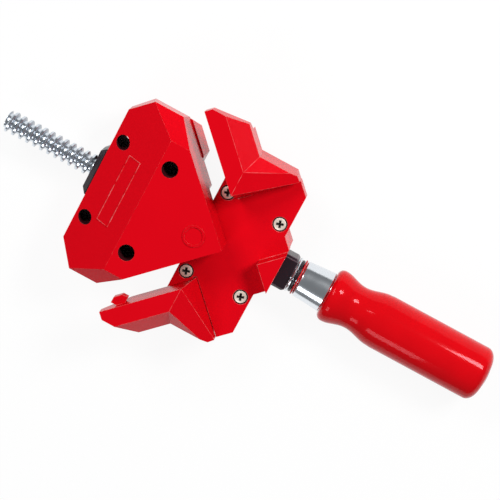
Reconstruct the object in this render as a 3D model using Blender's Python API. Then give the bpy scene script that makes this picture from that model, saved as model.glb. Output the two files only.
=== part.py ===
"""A corner clamp: two fixed arms at a right angle, and a triangular jaw that a screw draws into them.

The frame holds the arms. A bearing block swings in it and carries the screw, and the screw pulls a nut that
swivels in the jaw, so boards of different thickness are held square.
Units are metres. +X runs along the screw towards the handle, +Z is up from the bench. The origin is on the
bench, below the point where the two clamping faces of the arms would meet.
"""

import math

import bmesh
import bpy
from mathutils import Matrix, Vector

# Clearances
GAP = 0.0003                  # between pieces that touch or are screwed together
RUNNING_GAP = 0.0003          # between a shaft and its bore
SLIDE_GAP = 0.0005            # between the jaw's underside and the cover
STEP_CLEARANCE = 0.0014       # between the closed jaw's skirt and the cover's edge
CUT_MARGIN = 0.0100           # how far cutters reach past the material

# Levels
AXIS_HEIGHT = 0.017           # the screw's axis above the bench
SUPPORT_RISE = 0.010          # the surface that boards lie on, above the axis
FACE_HEIGHT = 0.023           # the clamping faces above that surface

# Arms, measured from the corner where their clamping faces meet
ARM_LENGTH = 0.0904           # along the clamping face to the arm's square end
ARM_END_REACH = 0.0034        # how far the arm's end stands out past the end of its clamping face
ARM_FLAT_WIDTH = 0.0105       # flat top, across the arm
ARM_WIDTH = 0.0197            # whole arm, across
ARM_DROP = 0.0130             # how far the outer chamfer falls
ARM_DEPTH = 0.0245            # from the arm's top to its underside
ARM_TIP_DEPTH = 0.0070        # the same at its square end, where the underside slopes up
TIP_SLOPE = 0.80              # rise of that slope for each unit along the arm
STRIP_HEIGHT = 0.0200         # the raised clamping strip on the arm's inner side
STRIP_DEPTH = 0.0035          # how far the strip stands out of the side below it
ROOT_DISTANCE = 0.0362        # from the corner along the face to the cover's joint
SHOULDER_REACH = 0.0028       # how far the arm's shoulder stands out past the cover's outer corner
RECESS_START = 0.0381         # from the corner along the face to where the side below the strip stands back
RAMP_START = 0.0297           # from the corner along X to where the arm's root slopes down
RAMP_SLOPE = 0.57             # fall of that slope for each unit along X
LUG_SETBACK = 0.0117          # from the arm's end back to the middle of the lug on one clamping face
LUG_HALF_LENGTH = 0.0051      # to its pointed ends
LUG_HALF_FLAT = 0.0026        # half the length of the sides along the face
LUG_REACH = 0.0048            # how far it stands out of the clamping face
LUG_THICKNESS = 0.0050
LUG_DROP = 0.0060             # its top below the arm's top

# Frame and cover
COVER_LEFT = 0.0378           # from the corner back to the cover's edge under the jaw
COVER_RIGHT = 0.0071          # from the corner to the cover's shoulders at the handle
COVER_THICKNESS = 0.0080
NOSE_HALF_WIDTH = 0.0133      # the nose that holds the bearing block
NOSE_RIGHT = 0.0128
BASE_INSET = 0.0030           # the casting below is this much smaller than the cover
UNDERSIDE_DEPTH = 0.0065      # shallow hollows under the casting
UNDERSIDE_WALL = 0.0045
UNDERSIDE_SPINE = 0.0120      # from the axis to the first hollow
CORNER_RELIEF = 0.0006        # the raised corner block starts this far behind the corner
CORNER_BLOCK_RISE = 0.0120    # its height over the cover

# Swinging bearing block
SWING_DEG = 4.0
SWING_X = 0.0071
BLOCK_LEFT = -0.0044
BLOCK_RIGHT = 0.0208
BLOCK_HALF_WIDTH = 0.0103
BLOCK_HALF_HEIGHT = 0.0075
BLOCK_CHAMFER = 0.0015
TRUNNION_RADIUS = 0.0038
TRUNNION_LENGTH = 0.0055

# Screw
SCREW_RADIUS = 0.0065
JOURNAL_RADIUS = 0.0050
TANG_RADIUS = 0.0040
SCREW_END = 0.1619            # from the corner back to the screw's free end
SCREW_END_BEVEL = 0.0015
TANG_END = 0.0776             # from the corner to the end of the tang inside the handle

# Washers, ferrule and handle
WASHER_RADIUS = 0.0105
WASHER_THICKNESS = 0.0012
SHOULDER_WASHER_RADIUS = 0.0070
SPACER_RADIUS = 0.0098
SPACER_THICKNESS = 0.0016
RING_RADIUS = 0.0106
RING_THICKNESS = 0.0009
FERRULE_FRONT_RADIUS = 0.0108
FERRULE_BACK_RADIUS = 0.0119
FERRULE_LENGTH = 0.0174
FERRULE_WALL = 0.0014
FERRULE_END_WALL = 0.0060
FERRULE_PIN_RADIUS = 0.00125
HANDLE_LENGTH = 0.1017
HANDLE_RADIUS = 0.0160
HANDLE_WAIST_RADIUS = 0.0131
HANDLE_COLLAR_RADIUS = 0.0158
HANDLE_END_ROUNDING = 0.0080
WAIST_START = 0.0052          # from the handle's front to the waist
WAIST_END = 0.0330            # from the handle's front to the barrel

# Jaw, measured back from its right-angled corner
OPENING = 0.0140              # between the jaw's and the arms' clamping faces at rest
CLOSE_TRAVEL = 0.0040         # along X to the nearest position of the jaw
JAW_LENGTH = 0.0827
JAW_HALF_WIDTH = 0.0535
JAW_BACK_HALF_WIDTH = 0.0410
JAW_BACK_BEVEL = 0.0117
JAW_SLOPE_LENGTH = 0.0300     # the sloping back of the top face
JAW_SLOPE_DROP = 0.0200
JAW_SIDE_DROP = 0.0124
JAW_PARTING = 0.0010          # above the axis: the joint between the two jaw castings
JAW_WALL = 0.0050
JAW_ROOF = 0.0060
JAW_DRAFT = 0.0021            # how far the end walls draw in between the side facets and the parting
JAW_BASE_INSET = 0.0030
JAW_BASE_DRAFT = 0.0046       # how far the lower casting's ends draw in towards the bench
JAW_REST_START = 0.0336       # from the jaw's corner back along X to its board rest
JAW_REST_REACH = 0.0024       # how far the rest's tip stands out across the screw
JAW_REST_CUT = 0.0047         # the rest's far end, ahead along X of the clamping face's own end
RING_MARK_RADIUS = 0.0062     # the ring cast on the jaw's top
RING_MARK_WIDTH = 0.0012
RING_MARK_RISE = 0.0006
RING_MARK_SETBACK = 0.0175
BENCH_BORE_BACK_RADIUS = 0.0042
BENCH_BORE_FRONT_RADIUS = 0.0047
BENCH_BORE_BACK = (0.0060, 0.0239)    # from the jaw's back edge, and from the axis
BENCH_BORE_FRONT = (0.0460, 0.0265)   # from the jaw's corner, and from the axis

# Swivel nut
NUT_PIVOT = 0.0094            # from the jaw's back face to the nut's swivel axis
NUT_FRONT = 0.0080            # from the swivel axis towards the handle
NUT_BACK_REACH = 0.0038       # how far the nut stands out of the jaw's back face
NUT_HALF_WIDTH = 0.0144
NUT_HALF_HEIGHT = 0.0095
NUT_BEVEL = 0.0029
NUT_TRUNNION_RADIUS = 0.0040
NUT_TRUNNION_LENGTH = 0.0025

# Fasteners
COVER_SCREW_LEFT = (-0.0325, 0.0255)
COVER_SCREW_RIGHT = (0.0013, 0.0238)
HEAD_RADIUS = 0.0040
HEAD_THICKNESS = 0.0026
SHANK_RADIUS = 0.0020
COVER_SHANK_LENGTH = 0.0160
JAW_SCREW_BACK = (0.0620, 0.0410)     # from the jaw's corner, and from the axis
JAW_SCREW_FRONT = (0.0400, 0.0165)
JAW_SCREW_RECESS = 0.0010
JAW_SHANK_LENGTH = 0.0260

# Facets
ROUND_SEGMENTS = 40
SMALL_SEGMENTS = 24

# Derived levels and places
ROOT2 = math.sqrt(2.0)
ARM_REACH = ARM_LENGTH / ROOT2 + ARM_END_REACH
SHOULDER_HALF_WIDTH = ROOT_DISTANCE * ROOT2 + SHOULDER_REACH
SUPPORT_LEVEL = AXIS_HEIGHT + SUPPORT_RISE
TOP_LEVEL = SUPPORT_LEVEL + FACE_HEIGHT
COVER_UNDERSIDE = SUPPORT_LEVEL - COVER_THICKNESS
CASTING_TOP = COVER_UNDERSIDE - GAP
JAW_CORNER = -OPENING * ROOT2
JAW_BACK = JAW_CORNER - JAW_LENGTH
JAW_STEP = -COVER_LEFT - CLOSE_TRAVEL - STEP_CLEARANCE
PARTING_LEVEL = AXIS_HEIGHT + JAW_PARTING
NUT_X = JAW_BACK + NUT_PIVOT
SWING = math.radians(SWING_DEG)
WASHER_X = BLOCK_RIGHT + GAP
SPACER_X = WASHER_X + WASHER_THICKNESS + GAP
RING_X = SPACER_X + SPACER_THICKNESS + GAP
FERRULE_X = RING_X + RING_THICKNESS + GAP
HANDLE_X = FERRULE_X + FERRULE_LENGTH + GAP
SHOULDER_WASHER_X = BLOCK_LEFT - GAP - WASHER_THICKNESS
SCREW_SHOULDER = SHOULDER_WASHER_X - GAP


def clear_scene():
    """Remove every object that a new file or an earlier run left."""
    for thing in list(bpy.data.objects):
        bpy.data.objects.remove(thing, do_unlink=True)


def finish(name, colour, roughness, metallic):
    """A Principled material of one colour."""
    material = bpy.data.materials.new(name)
    material.use_nodes = True
    shader = material.node_tree.nodes["Principled BSDF"]
    shader.inputs["Base Color"].default_value = (*colour, 1.0)
    shader.inputs["Roughness"].default_value = roughness
    shader.inputs["Metallic"].default_value = metallic
    return material


def empty(name, place, parent=None):
    """A pivot or carrier that pieces hang on."""
    pivot = bpy.data.objects.new(name, None)
    bpy.context.scene.collection.objects.link(pivot)
    pivot.empty_display_size = 0.01
    pivot.location = place
    if parent is not None:
        pivot.parent = parent
        pivot.matrix_parent_inverse = Matrix.Translation(-parent.matrix_world.translation)
    bpy.context.view_layer.update()
    return pivot


def from_bmesh(name, shape):
    """An object from a finished bmesh, with its faces turned outwards."""
    bmesh.ops.recalc_face_normals(shape, faces=shape.faces)
    mesh = bpy.data.meshes.new(name)
    shape.to_mesh(mesh)
    shape.free()
    thing = bpy.data.objects.new(name, mesh)
    bpy.context.scene.collection.objects.link(thing)
    return thing


def prism(name, outline, low, high):
    """An upright block over a plan outline."""
    shape = bmesh.new()
    corners = [shape.verts.new((x, y, low)) for x, y in outline]
    floor = shape.faces.new(corners)
    lifted = bmesh.ops.extrude_face_region(shape, geom=[floor])
    top = [item for item in lifted["geom"] if isinstance(item, bmesh.types.BMVert)]
    bmesh.ops.translate(shape, verts=top, vec=(0.0, 0.0, high - low))
    return from_bmesh(name, shape)


def upright_cylinder(name, x, y, low, high, radius, segments=SMALL_SEGMENTS):
    """A vertical cylinder."""
    shape = bmesh.new()
    place = Matrix.Translation((x, y, (low + high) / 2.0))
    bmesh.ops.create_cone(shape, cap_ends=True, segments=segments, radius1=radius, radius2=radius,
                          depth=high - low, matrix=place)
    return from_bmesh(name, shape)


def turned(name, profile, segments=ROUND_SEGMENTS):
    """A body turned about the screw's axis. The profile holds (x, radius) points round one closed section."""
    shape = bmesh.new()
    rim = [shape.verts.new((x, 0.0, AXIS_HEIGHT + radius)) for x, radius in profile]
    edges = [shape.edges.new((rim[i], rim[(i + 1) % len(rim)])) for i in range(len(rim))]
    bmesh.ops.spin(shape, geom=rim + edges, cent=(0.0, 0.0, AXIS_HEIGHT), axis=(1.0, 0.0, 0.0),
                   angle=2.0 * math.pi, steps=segments, use_merge=True)
    bmesh.ops.remove_doubles(shape, verts=shape.verts, dist=1e-6)
    return from_bmesh(name, shape)


def solid_turned(name, profile, segments=ROUND_SEGMENTS):
    """A body turned about the screw's axis, from a line of (x, radius) points that starts and ends on it."""
    shape = bmesh.new()
    line = [shape.verts.new((x, 0.0, AXIS_HEIGHT + radius)) for x, radius in profile]
    edges = [shape.edges.new((line[i], line[i + 1])) for i in range(len(line) - 1)]
    bmesh.ops.spin(shape, geom=line + edges, cent=(0.0, 0.0, AXIS_HEIGHT), axis=(1.0, 0.0, 0.0),
                   angle=2.0 * math.pi, steps=segments, use_merge=True)
    bmesh.ops.remove_doubles(shape, verts=shape.verts, dist=1e-6)
    return from_bmesh(name, shape)


def combine(target, other, operation):
    """Apply one Boolean and remove the second body."""
    step = target.modifiers.new(operation.title(), "BOOLEAN")
    step.operation = operation
    step.solver = "EXACT"
    step.object = other
    bpy.context.view_layer.update()
    evaluated = target.evaluated_get(bpy.context.evaluated_depsgraph_get())
    result = bpy.data.meshes.new_from_object(evaluated)
    target.modifiers.clear()
    target.data = result
    bpy.data.objects.remove(other, do_unlink=True)


def cut(target, *cutters):
    """Take each cutter out of the target."""
    for cutter in cutters:
        combine(target, cutter, "DIFFERENCE")


def join(target, *others):
    """Add each body to the target as one solid."""
    for other in others:
        combine(target, other, "UNION")


def slice_off(target, point, normal):
    """Remove what lies on the normal's side of a plane, and close the cut."""
    shape = bmesh.new()
    shape.from_mesh(target.data)
    geometry = list(shape.verts) + list(shape.edges) + list(shape.faces)
    bmesh.ops.bisect_plane(shape, geom=geometry, plane_co=point, plane_no=normal, clear_outer=True, dist=1e-7)
    open_edges = [edge for edge in shape.edges if edge.is_boundary]
    bmesh.ops.holes_fill(shape, edges=open_edges, sides=0)
    bmesh.ops.recalc_face_normals(shape, faces=shape.faces)
    shape.to_mesh(target.data)
    shape.free()


def mirrored(outline):
    """A plan outline reflected in the screw's axis."""
    return [(x, -y) for x, y in reversed(outline)]


def on_face(along, out, side):
    """A plan point by its distance along an arm's clamping face from the corner, and out from that face."""
    x = -(along + out) / ROOT2
    y = (along - out) / ROOT2
    return (x, side * y)


def dress(thing, material, parent, smooth_deg=None):
    """Give a piece its material and parent. Round pieces are shaded smooth up to an angle."""
    thing.data.materials.clear()
    thing.data.materials.append(material)
    if smooth_deg is not None:
        thing.data.shade_smooth()
        thing.data.set_sharp_from_angle(angle=math.radians(smooth_deg))
    thing.parent = parent
    thing.matrix_parent_inverse = Matrix.Translation(-parent.matrix_world.translation)


def swing_outline(left, right, half_width, pivot_x, extra):
    """The plan outline that a straight bar sweeps as it swings about a pivot, widest at its ends."""
    left_half = half_width / math.cos(SWING) + abs(pivot_x - left) * math.tan(SWING) + extra
    right_half = half_width / math.cos(SWING) + abs(right - pivot_x) * math.tan(SWING) + extra
    if left < pivot_x < right:
        middle_half = half_width / math.cos(SWING) + extra
        return [(left, -left_half), (pivot_x, -middle_half), (right, -right_half),
                (right, right_half), (pivot_x, middle_half), (left, left_half)]
    return [(left, -left_half), (right, -right_half), (right, right_half), (left, left_half)]


# Frame


def arm_outline():
    """Plan of one arm and its root, on the +Y side."""
    tip_inner = on_face(ARM_LENGTH, 0.0, 1)
    square_end = ARM_REACH - tip_inner[1]
    root_line = ROOT_DISTANCE * ROOT2
    width_line = ARM_WIDTH * ROOT2
    return [
        on_face(ROOT_DISTANCE + GAP, 0.0, 1),
        (GAP * -ROOT2 / 2.0, root_line + GAP * ROOT2 / 2.0),
        (root_line - SHOULDER_HALF_WIDTH, SHOULDER_HALF_WIDTH),
        (width_line - SHOULDER_HALF_WIDTH, SHOULDER_HALF_WIDTH),
        (width_line - ARM_REACH, ARM_REACH),
        (tip_inner[0] + square_end, ARM_REACH),
        tip_inner,
    ]


def make_arm(side):
    """One arm: flat top, chamfered outer side, root sloping down to the cover, raised clamping strip."""
    outline = arm_outline()
    arm = prism("arm", outline if side > 0 else mirrored(outline), TOP_LEVEL - ARM_DEPTH, TOP_LEVEL)
    ridge = ARM_FLAT_WIDTH * ROOT2
    ridge_y = ridge + RAMP_START
    # the outer chamfers, along the arm and over its shoulder, meet in a valley: what is above both goes
    reach = ARM_LENGTH
    above = prism("above", [(-reach, side * 0.002), (reach, side * 0.002), (reach, side * reach),
                            (-reach, side * reach)], TOP_LEVEL - ARM_DEPTH - 0.001, TOP_LEVEL + 0.002)
    slice_off(above, (0.0, side * ridge, TOP_LEVEL),
              (-ARM_DROP / ROOT2, -side * ARM_DROP / ROOT2, ARM_FLAT_WIDTH - ARM_WIDTH))
    slice_off(above, (0.0, side * ridge_y, TOP_LEVEL),
              (0.0, -side * ARM_DROP, ridge_y - SHOULDER_HALF_WIDTH))
    cut(arm, above)
    # slope down towards the handle
    slice_off(arm, (-RAMP_START, 0.0, TOP_LEVEL), (RAMP_SLOPE, 0.0, 1.0))
    # steep slope down to the cover's joint
    top_inner = Vector((-RAMP_START, side * RAMP_START, TOP_LEVEL))
    foot_x, foot_y = on_face(ROOT_DISTANCE, 0.0, side)
    foot_inner = Vector((foot_x, foot_y, SUPPORT_LEVEL))
    foot_outer = Vector((0.0, side * ROOT_DISTANCE * ROOT2, TOP_LEVEL - RAMP_SLOPE * RAMP_START))
    steep = (foot_inner - top_inner).cross(foot_outer - top_inner)
    if steep.z < 0.0:
        steep.negate()
    slice_off(arm, top_inner, steep)
    # the side below the clamping strip stands back
    recess = [on_face(RECESS_START, GAP, side), on_face(ARM_LENGTH * 1.2, GAP, side),
              on_face(ARM_LENGTH * 1.2, -STRIP_DEPTH, side), on_face(RECESS_START, -STRIP_DEPTH, side)]
    cut(arm, prism("recess", recess, 0.0, TOP_LEVEL - STRIP_HEIGHT))
    # the underside slopes up towards the end
    tip_x, tip_y = on_face(ARM_LENGTH, 0.0, side)
    slice_off(arm, (tip_x, tip_y, TOP_LEVEL - ARM_TIP_DEPTH),
              (-TIP_SLOPE / ROOT2, side * TIP_SLOPE / ROOT2, -1.0))
    return arm


def make_lug():
    """The six-sided lug on the clamping face of the -Y arm."""
    root = STRIP_DEPTH / 2.0
    corners = [(-LUG_HALF_FLAT, -root), (-LUG_HALF_FLAT, 0.0), (-LUG_HALF_LENGTH, LUG_REACH / 2.0),
               (-LUG_HALF_FLAT, LUG_REACH), (LUG_HALF_FLAT, LUG_REACH), (LUG_HALF_LENGTH, LUG_REACH / 2.0),
               (LUG_HALF_FLAT, 0.0), (LUG_HALF_FLAT, -root)]
    outline = [on_face(ARM_LENGTH - LUG_SETBACK + along, out, -1) for along, out in corners]
    lug_top = TOP_LEVEL - LUG_DROP
    return prism("lug", outline, lug_top - LUG_THICKNESS, lug_top)


def cover_outline(inset=0.0, clearance=0.0):
    """Plan of the cover. The inset shrinks its free edges, the clearance its joints with the arms."""
    wall = STRIP_DEPTH - GAP - clearance
    left = -COVER_LEFT + inset
    root_line = ROOT_DISTANCE * ROOT2 - inset
    seam_line = ROOT_DISTANCE * ROOT2 - clearance
    seam_inner = on_face(ROOT_DISTANCE - clearance, GAP + clearance, 1)
    notch_start = on_face(RECESS_START + GAP + clearance, GAP + clearance, 1)
    notch_end = on_face(RECESS_START + GAP + clearance, -wall, 1)
    seam_outer = ((root_line - seam_line) / 2.0, (root_line + seam_line) / 2.0)
    right = COVER_RIGHT - inset
    nose_right = NOSE_RIGHT - inset
    nose_half = NOSE_HALF_WIDTH
    upper = [
        (nose_right, nose_half),
        (right, nose_half + nose_right - right),
        (right, root_line - right),
        seam_outer,
        seam_inner,
        notch_start,
        notch_end,
        (left, wall * ROOT2 - left),
    ]
    return [(x, -y) for x, y in upper] + list(reversed(upper))


def base_outline():
    """Plan of the frame casting below the cover, with a root under each arm."""
    root_line = (ROOT_DISTANCE - BASE_INSET) * ROOT2
    shoulder = SHOULDER_HALF_WIDTH - BASE_INSET
    arm_line = (ARM_WIDTH - BASE_INSET) * ROOT2
    left = -COVER_LEFT + GAP * 2.0
    nose_right = NOSE_RIGHT - GAP
    right = COVER_RIGHT - BASE_INSET
    upper = [
        (nose_right, NOSE_HALF_WIDTH),
        (right, NOSE_HALF_WIDTH + nose_right - right),
        (right, root_line - right),
        (root_line - shoulder, shoulder),
        (arm_line - shoulder, shoulder),
        (left, arm_line - left),
        (left, STRIP_DEPTH * ROOT2 - left),
    ]
    return [(x, -y) for x, y in upper] + list(reversed(upper))


def cover_space_outline():
    """Plan of the space that is cleared above the casting, so that only the roots of the arms stay."""
    seam = ROOT_DISTANCE + 2.0 * GAP
    inner_wall = STRIP_DEPTH + GAP
    left = -COVER_LEFT - CUT_MARGIN
    right = NOSE_RIGHT + CUT_MARGIN
    upper = [
        (right, right + seam * ROOT2),
        on_face(seam, -inner_wall, 1),
        (left, inner_wall * ROOT2 - left),
    ]
    return [(x, -y) for x, y in upper] + list(reversed(upper))


def screw_channel(name, left, right, pivot_x, low, high):
    """The space in which the screw swings."""
    return prism(name, swing_outline(left, right, SCREW_RADIUS, pivot_x, 2.0 * RUNNING_GAP), low, high)


def block_pocket(low, high):
    """The space in which the bearing block and its shoulder washer swing, open towards the handle."""
    left = SHOULDER_WASHER_X - BLOCK_HALF_WIDTH * math.sin(SWING) - 2.0 * GAP
    outline = swing_outline(left, NOSE_RIGHT + CUT_MARGIN, BLOCK_HALF_WIDTH, SWING_X, 2.0 * GAP)
    return prism("pocket", outline, low, high)


def underside_outlines():
    """Plans of the two shallow hollows under the casting on the +Y side, with a rib between them."""
    wall = UNDERSIDE_WALL
    left = -COVER_LEFT + wall
    right = COVER_RIGHT - BASE_INSET - wall
    root_line = (ROOT_DISTANCE - BASE_INSET - wall) * ROOT2
    inner = UNDERSIDE_SPINE
    outer = SHOULDER_HALF_WIDTH - BASE_INSET - wall
    middle = (left + right) / 2.0
    front = [(middle + wall / 2.0, inner), (right, inner), (right, root_line - right),
             (root_line - outer, outer), (middle + wall / 2.0, outer)]
    back = [(left, inner), (middle - wall / 2.0, inner), (middle - wall / 2.0, outer), (left, outer)]
    return front, back


def make_frame():
    """The casting: base, pillars and arms, with pockets for the bearing block and the screw."""
    casting = prism("frame_casting", base_outline(), 0.0, TOP_LEVEL - ARM_DEPTH + 0.004)
    cut(casting, prism("cover_space", cover_space_outline(), CASTING_TOP, TOP_LEVEL))
    for side in (1, -1):
        join(casting, make_arm(side))
    join(casting, make_lug())
    pocket_floor = AXIS_HEIGHT - BLOCK_HALF_HEIGHT - GAP
    above = SUPPORT_LEVEL + 0.001
    pocket = block_pocket(pocket_floor, above)
    channel = screw_channel("channel", -COVER_LEFT - CUT_MARGIN, SWING_X, SWING_X,
                            AXIS_HEIGHT - SCREW_RADIUS - 2.0 * RUNNING_GAP, above)
    well = upright_cylinder("well", SWING_X, 0.0, pocket_floor - TRUNNION_LENGTH - GAP, AXIS_HEIGHT,
                            TRUNNION_RADIUS + RUNNING_GAP)
    cut(casting, pocket, channel, well)
    for outline in underside_outlines():
        for shape in (outline, mirrored(outline)):
            cut(casting, prism("underside", shape, -0.001, UNDERSIDE_DEPTH))
    for x, y in cover_screw_places():
        bottom = SUPPORT_LEVEL - HEAD_THICKNESS - COVER_SHANK_LENGTH - GAP
        cut(casting, upright_cylinder("tapping", x, y, bottom, above, SHANK_RADIUS + GAP))
    return casting


def cover_screw_places():
    """The four screws of the cover, left pair first."""
    return [(x, side * y) for x, y in (COVER_SCREW_LEFT, COVER_SCREW_RIGHT) for side in (1, -1)]


def make_cover():
    """The cover and its right-angled corner block, recessed for screw heads, hollow for the bearing."""
    cover = prism("cover_plate", cover_outline(), COVER_UNDERSIDE, SUPPORT_LEVEL)
    apex = CORNER_RELIEF
    half = NOSE_RIGHT - apex
    corner = prism("corner", [(apex, 0.0), (NOSE_RIGHT, -half), (NOSE_RIGHT, half)],
                   SUPPORT_LEVEL - 0.002, SUPPORT_LEVEL + CORNER_BLOCK_RISE)
    join(cover, corner)
    ceiling = AXIS_HEIGHT + BLOCK_HALF_HEIGHT + GAP
    pocket = block_pocket(0.0, ceiling)
    channel = screw_channel("channel", -COVER_LEFT - CUT_MARGIN, SWING_X, SWING_X, 0.0,
                            AXIS_HEIGHT + SCREW_RADIUS + 2.0 * RUNNING_GAP)
    well = upright_cylinder("well", SWING_X, 0.0, AXIS_HEIGHT, ceiling + TRUNNION_LENGTH + GAP,
                            TRUNNION_RADIUS + RUNNING_GAP)
    cut(cover, pocket, channel, well)
    seat = SUPPORT_LEVEL - HEAD_THICKNESS - GAP
    for x, y in cover_screw_places():
        cut(cover, upright_cylinder("recess", x, y, seat, SUPPORT_LEVEL + 0.001, HEAD_RADIUS + GAP))
        cut(cover, upright_cylinder("hole", x, y, 0.0, SUPPORT_LEVEL, SHANK_RADIUS + GAP))
    return cover


def pan_screw(name, x, y, head_low, head_high, shank_end):
    """A pan head screw, head up or head down, as one turned body."""
    up = 1.0 if head_high > shank_end else -1.0
    top = max(head_low, head_high) if up > 0 else min(head_low, head_high)
    seat = min(head_low, head_high) if up > 0 else max(head_low, head_high)
    round_off = HEAD_THICKNESS * 0.35
    profile = [
        (0.0, top),
        (HEAD_RADIUS - round_off * 1.5, top),
        (HEAD_RADIUS - round_off * 0.4, top - up * round_off * 0.35),
        (HEAD_RADIUS, top - up * round_off),
        (HEAD_RADIUS, seat),
        (SHANK_RADIUS, seat),
        (SHANK_RADIUS, shank_end + up * SHANK_RADIUS * 0.4),
        (SHANK_RADIUS * 0.6, shank_end),
        (0.0, shank_end),
    ]
    shape = bmesh.new()
    line = [shape.verts.new((x + radius, y, z)) for radius, z in profile]
    edges = [shape.edges.new((line[i], line[i + 1])) for i in range(len(line) - 1)]
    bmesh.ops.spin(shape, geom=line + edges, cent=(x, y, 0.0), axis=(0.0, 0.0, 1.0),
                   angle=2.0 * math.pi, steps=SMALL_SEGMENTS, use_merge=True)
    bmesh.ops.remove_doubles(shape, verts=shape.verts, dist=1e-6)
    return from_bmesh(name, shape)


# Screw and handle


def block_outline():
    """Plan of the bearing block, with its outer corners chamfered."""
    half = BLOCK_HALF_WIDTH
    chamfer = BLOCK_CHAMFER
    return [(BLOCK_LEFT, -half), (BLOCK_RIGHT - chamfer, -half), (BLOCK_RIGHT, chamfer - half),
            (BLOCK_RIGHT, half - chamfer), (BLOCK_RIGHT - chamfer, half), (BLOCK_LEFT, half)]


def make_block():
    """The bearing block: a chamfered bar with two trunnions and the journal's bore through it."""
    low = AXIS_HEIGHT - BLOCK_HALF_HEIGHT
    high = AXIS_HEIGHT + BLOCK_HALF_HEIGHT
    block = prism("bearing_block", block_outline(), low, high)
    for side in (1, -1):
        for level in (1, -1):
            corner = (0.0, side * BLOCK_HALF_WIDTH, AXIS_HEIGHT + level * (BLOCK_HALF_HEIGHT - BLOCK_CHAMFER))
            slice_off(block, corner, (0.0, side, level))
    top = upright_cylinder("trunnion", SWING_X, 0.0, high - 0.001, high + TRUNNION_LENGTH, TRUNNION_RADIUS)
    bottom = upright_cylinder("trunnion", SWING_X, 0.0, low - TRUNNION_LENGTH, low + 0.001, TRUNNION_RADIUS)
    join(block, top, bottom)
    bore = JOURNAL_RADIUS + RUNNING_GAP
    cut(block, solid_turned("bore", [(BLOCK_LEFT - 0.001, 0.0), (BLOCK_LEFT - 0.001, bore),
                                     (BLOCK_RIGHT + 0.001, bore), (BLOCK_RIGHT + 0.001, 0.0)]))
    return block


def make_spindle():
    """The screw: threaded length at its outer diameter, journal in the block, tang in the handle."""
    journal_end = FERRULE_X + FERRULE_END_WALL + GAP
    bevel = SCREW_END_BEVEL
    return solid_turned("spindle", [
        (-SCREW_END, 0.0),
        (-SCREW_END, SCREW_RADIUS - bevel),
        (-SCREW_END + bevel, SCREW_RADIUS),
        (SCREW_SHOULDER, SCREW_RADIUS),
        (SCREW_SHOULDER, JOURNAL_RADIUS),
        (journal_end, JOURNAL_RADIUS),
        (journal_end, TANG_RADIUS),
        (TANG_END, TANG_RADIUS),
        (TANG_END, 0.0),
    ])


def make_washer(name, x, thickness, radius):
    """A flat ring on the journal with broken edges."""
    bore = JOURNAL_RADIUS + RUNNING_GAP
    edge = thickness * 0.25
    return turned(name, [(x, bore), (x + thickness, bore), (x + thickness, radius - edge),
                         (x + thickness - edge, radius), (x + edge, radius), (x, radius - edge)])


def make_ferrule():
    """The metal cup between screw and handle, slightly flared towards the handle."""
    end = FERRULE_X + FERRULE_LENGTH
    inner = FERRULE_X + FERRULE_END_WALL
    bore = JOURNAL_RADIUS + RUNNING_GAP
    front = FERRULE_FRONT_RADIUS
    ferrule = turned("ferrule", [
        (FERRULE_X, bore),
        (inner, bore),
        (inner, front - FERRULE_WALL),
        (end, FERRULE_BACK_RADIUS - FERRULE_WALL),
        (end, FERRULE_BACK_RADIUS),
        (FERRULE_X + 0.0014, front + 0.0002),
        (FERRULE_X + 0.0004, front - 0.0004),
        (FERRULE_X, front - 0.0012),
    ])
    cut(ferrule, upright_cylinder("hole", pin_x(), 0.0, 0.0, AXIS_HEIGHT,
                                  FERRULE_PIN_RADIUS + RUNNING_GAP, 16))
    return ferrule


def pin_x():
    """The grub screw's place, in the middle of the ferrule's end wall."""
    return FERRULE_X + FERRULE_END_WALL / 2.0


def make_pin():
    """The grub screw under the ferrule that locks it to the screw."""
    return upright_cylinder("ferrule_pin", pin_x(), 0.0, AXIS_HEIGHT - FERRULE_FRONT_RADIUS,
                            AXIS_HEIGHT - JOURNAL_RADIUS / 2.0, FERRULE_PIN_RADIUS, 16)


def handle_profile():
    """The handle's outline from its tenon to its rounded end, as (x, radius) points."""
    tenon = FERRULE_FRONT_RADIUS - FERRULE_WALL - GAP
    tenon_start = FERRULE_X + FERRULE_END_WALL + GAP
    bore = TANG_RADIUS + RUNNING_GAP
    end = HANDLE_X + HANDLE_LENGTH
    points = [(tenon_start, bore), (tenon_start, tenon), (HANDLE_X, tenon)]
    points += [(HANDLE_X, HANDLE_COLLAR_RADIUS - 0.0028), (HANDLE_X + 0.0008, HANDLE_COLLAR_RADIUS - 0.0013),
               (HANDLE_X + 0.0022, HANDLE_COLLAR_RADIUS - 0.0003), (HANDLE_X + 0.0042, HANDLE_COLLAR_RADIUS)]
    # the waist is a cosine dip between the collar and the barrel
    waist_start = HANDLE_X + WAIST_START
    waist_end = HANDLE_X + WAIST_END
    steps = 12
    for index in range(1, steps):
        share = index / steps
        level = HANDLE_COLLAR_RADIUS + (HANDLE_RADIUS - HANDLE_COLLAR_RADIUS) * share
        dip = (level - HANDLE_WAIST_RADIUS) * (0.5 - 0.5 * math.cos(2.0 * math.pi * share))
        points.append((waist_start + (waist_end - waist_start) * share, level - dip))
    points.append((waist_end, HANDLE_RADIUS))
    rounding = HANDLE_END_ROUNDING
    depth = rounding * 0.75
    for index in range(7):
        angle = math.pi / 2.0 * index / 6.0
        points.append((end - depth - 0.0012 + depth * math.sin(angle),
                       HANDLE_RADIUS - rounding + rounding * math.cos(angle)))
    points.append((end, 0.0))
    return points


def make_handle():
    """The turned handle with its tenon and the blind bore for the tang."""
    points = handle_profile()
    start = points[0][0]
    bore = points[0][1]
    tang_hole = [(TANG_END + GAP, 0.0), (TANG_END + GAP, bore), (start, bore)]
    return solid_turned("handle", tang_hole + points[1:])


# Jaw


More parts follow.
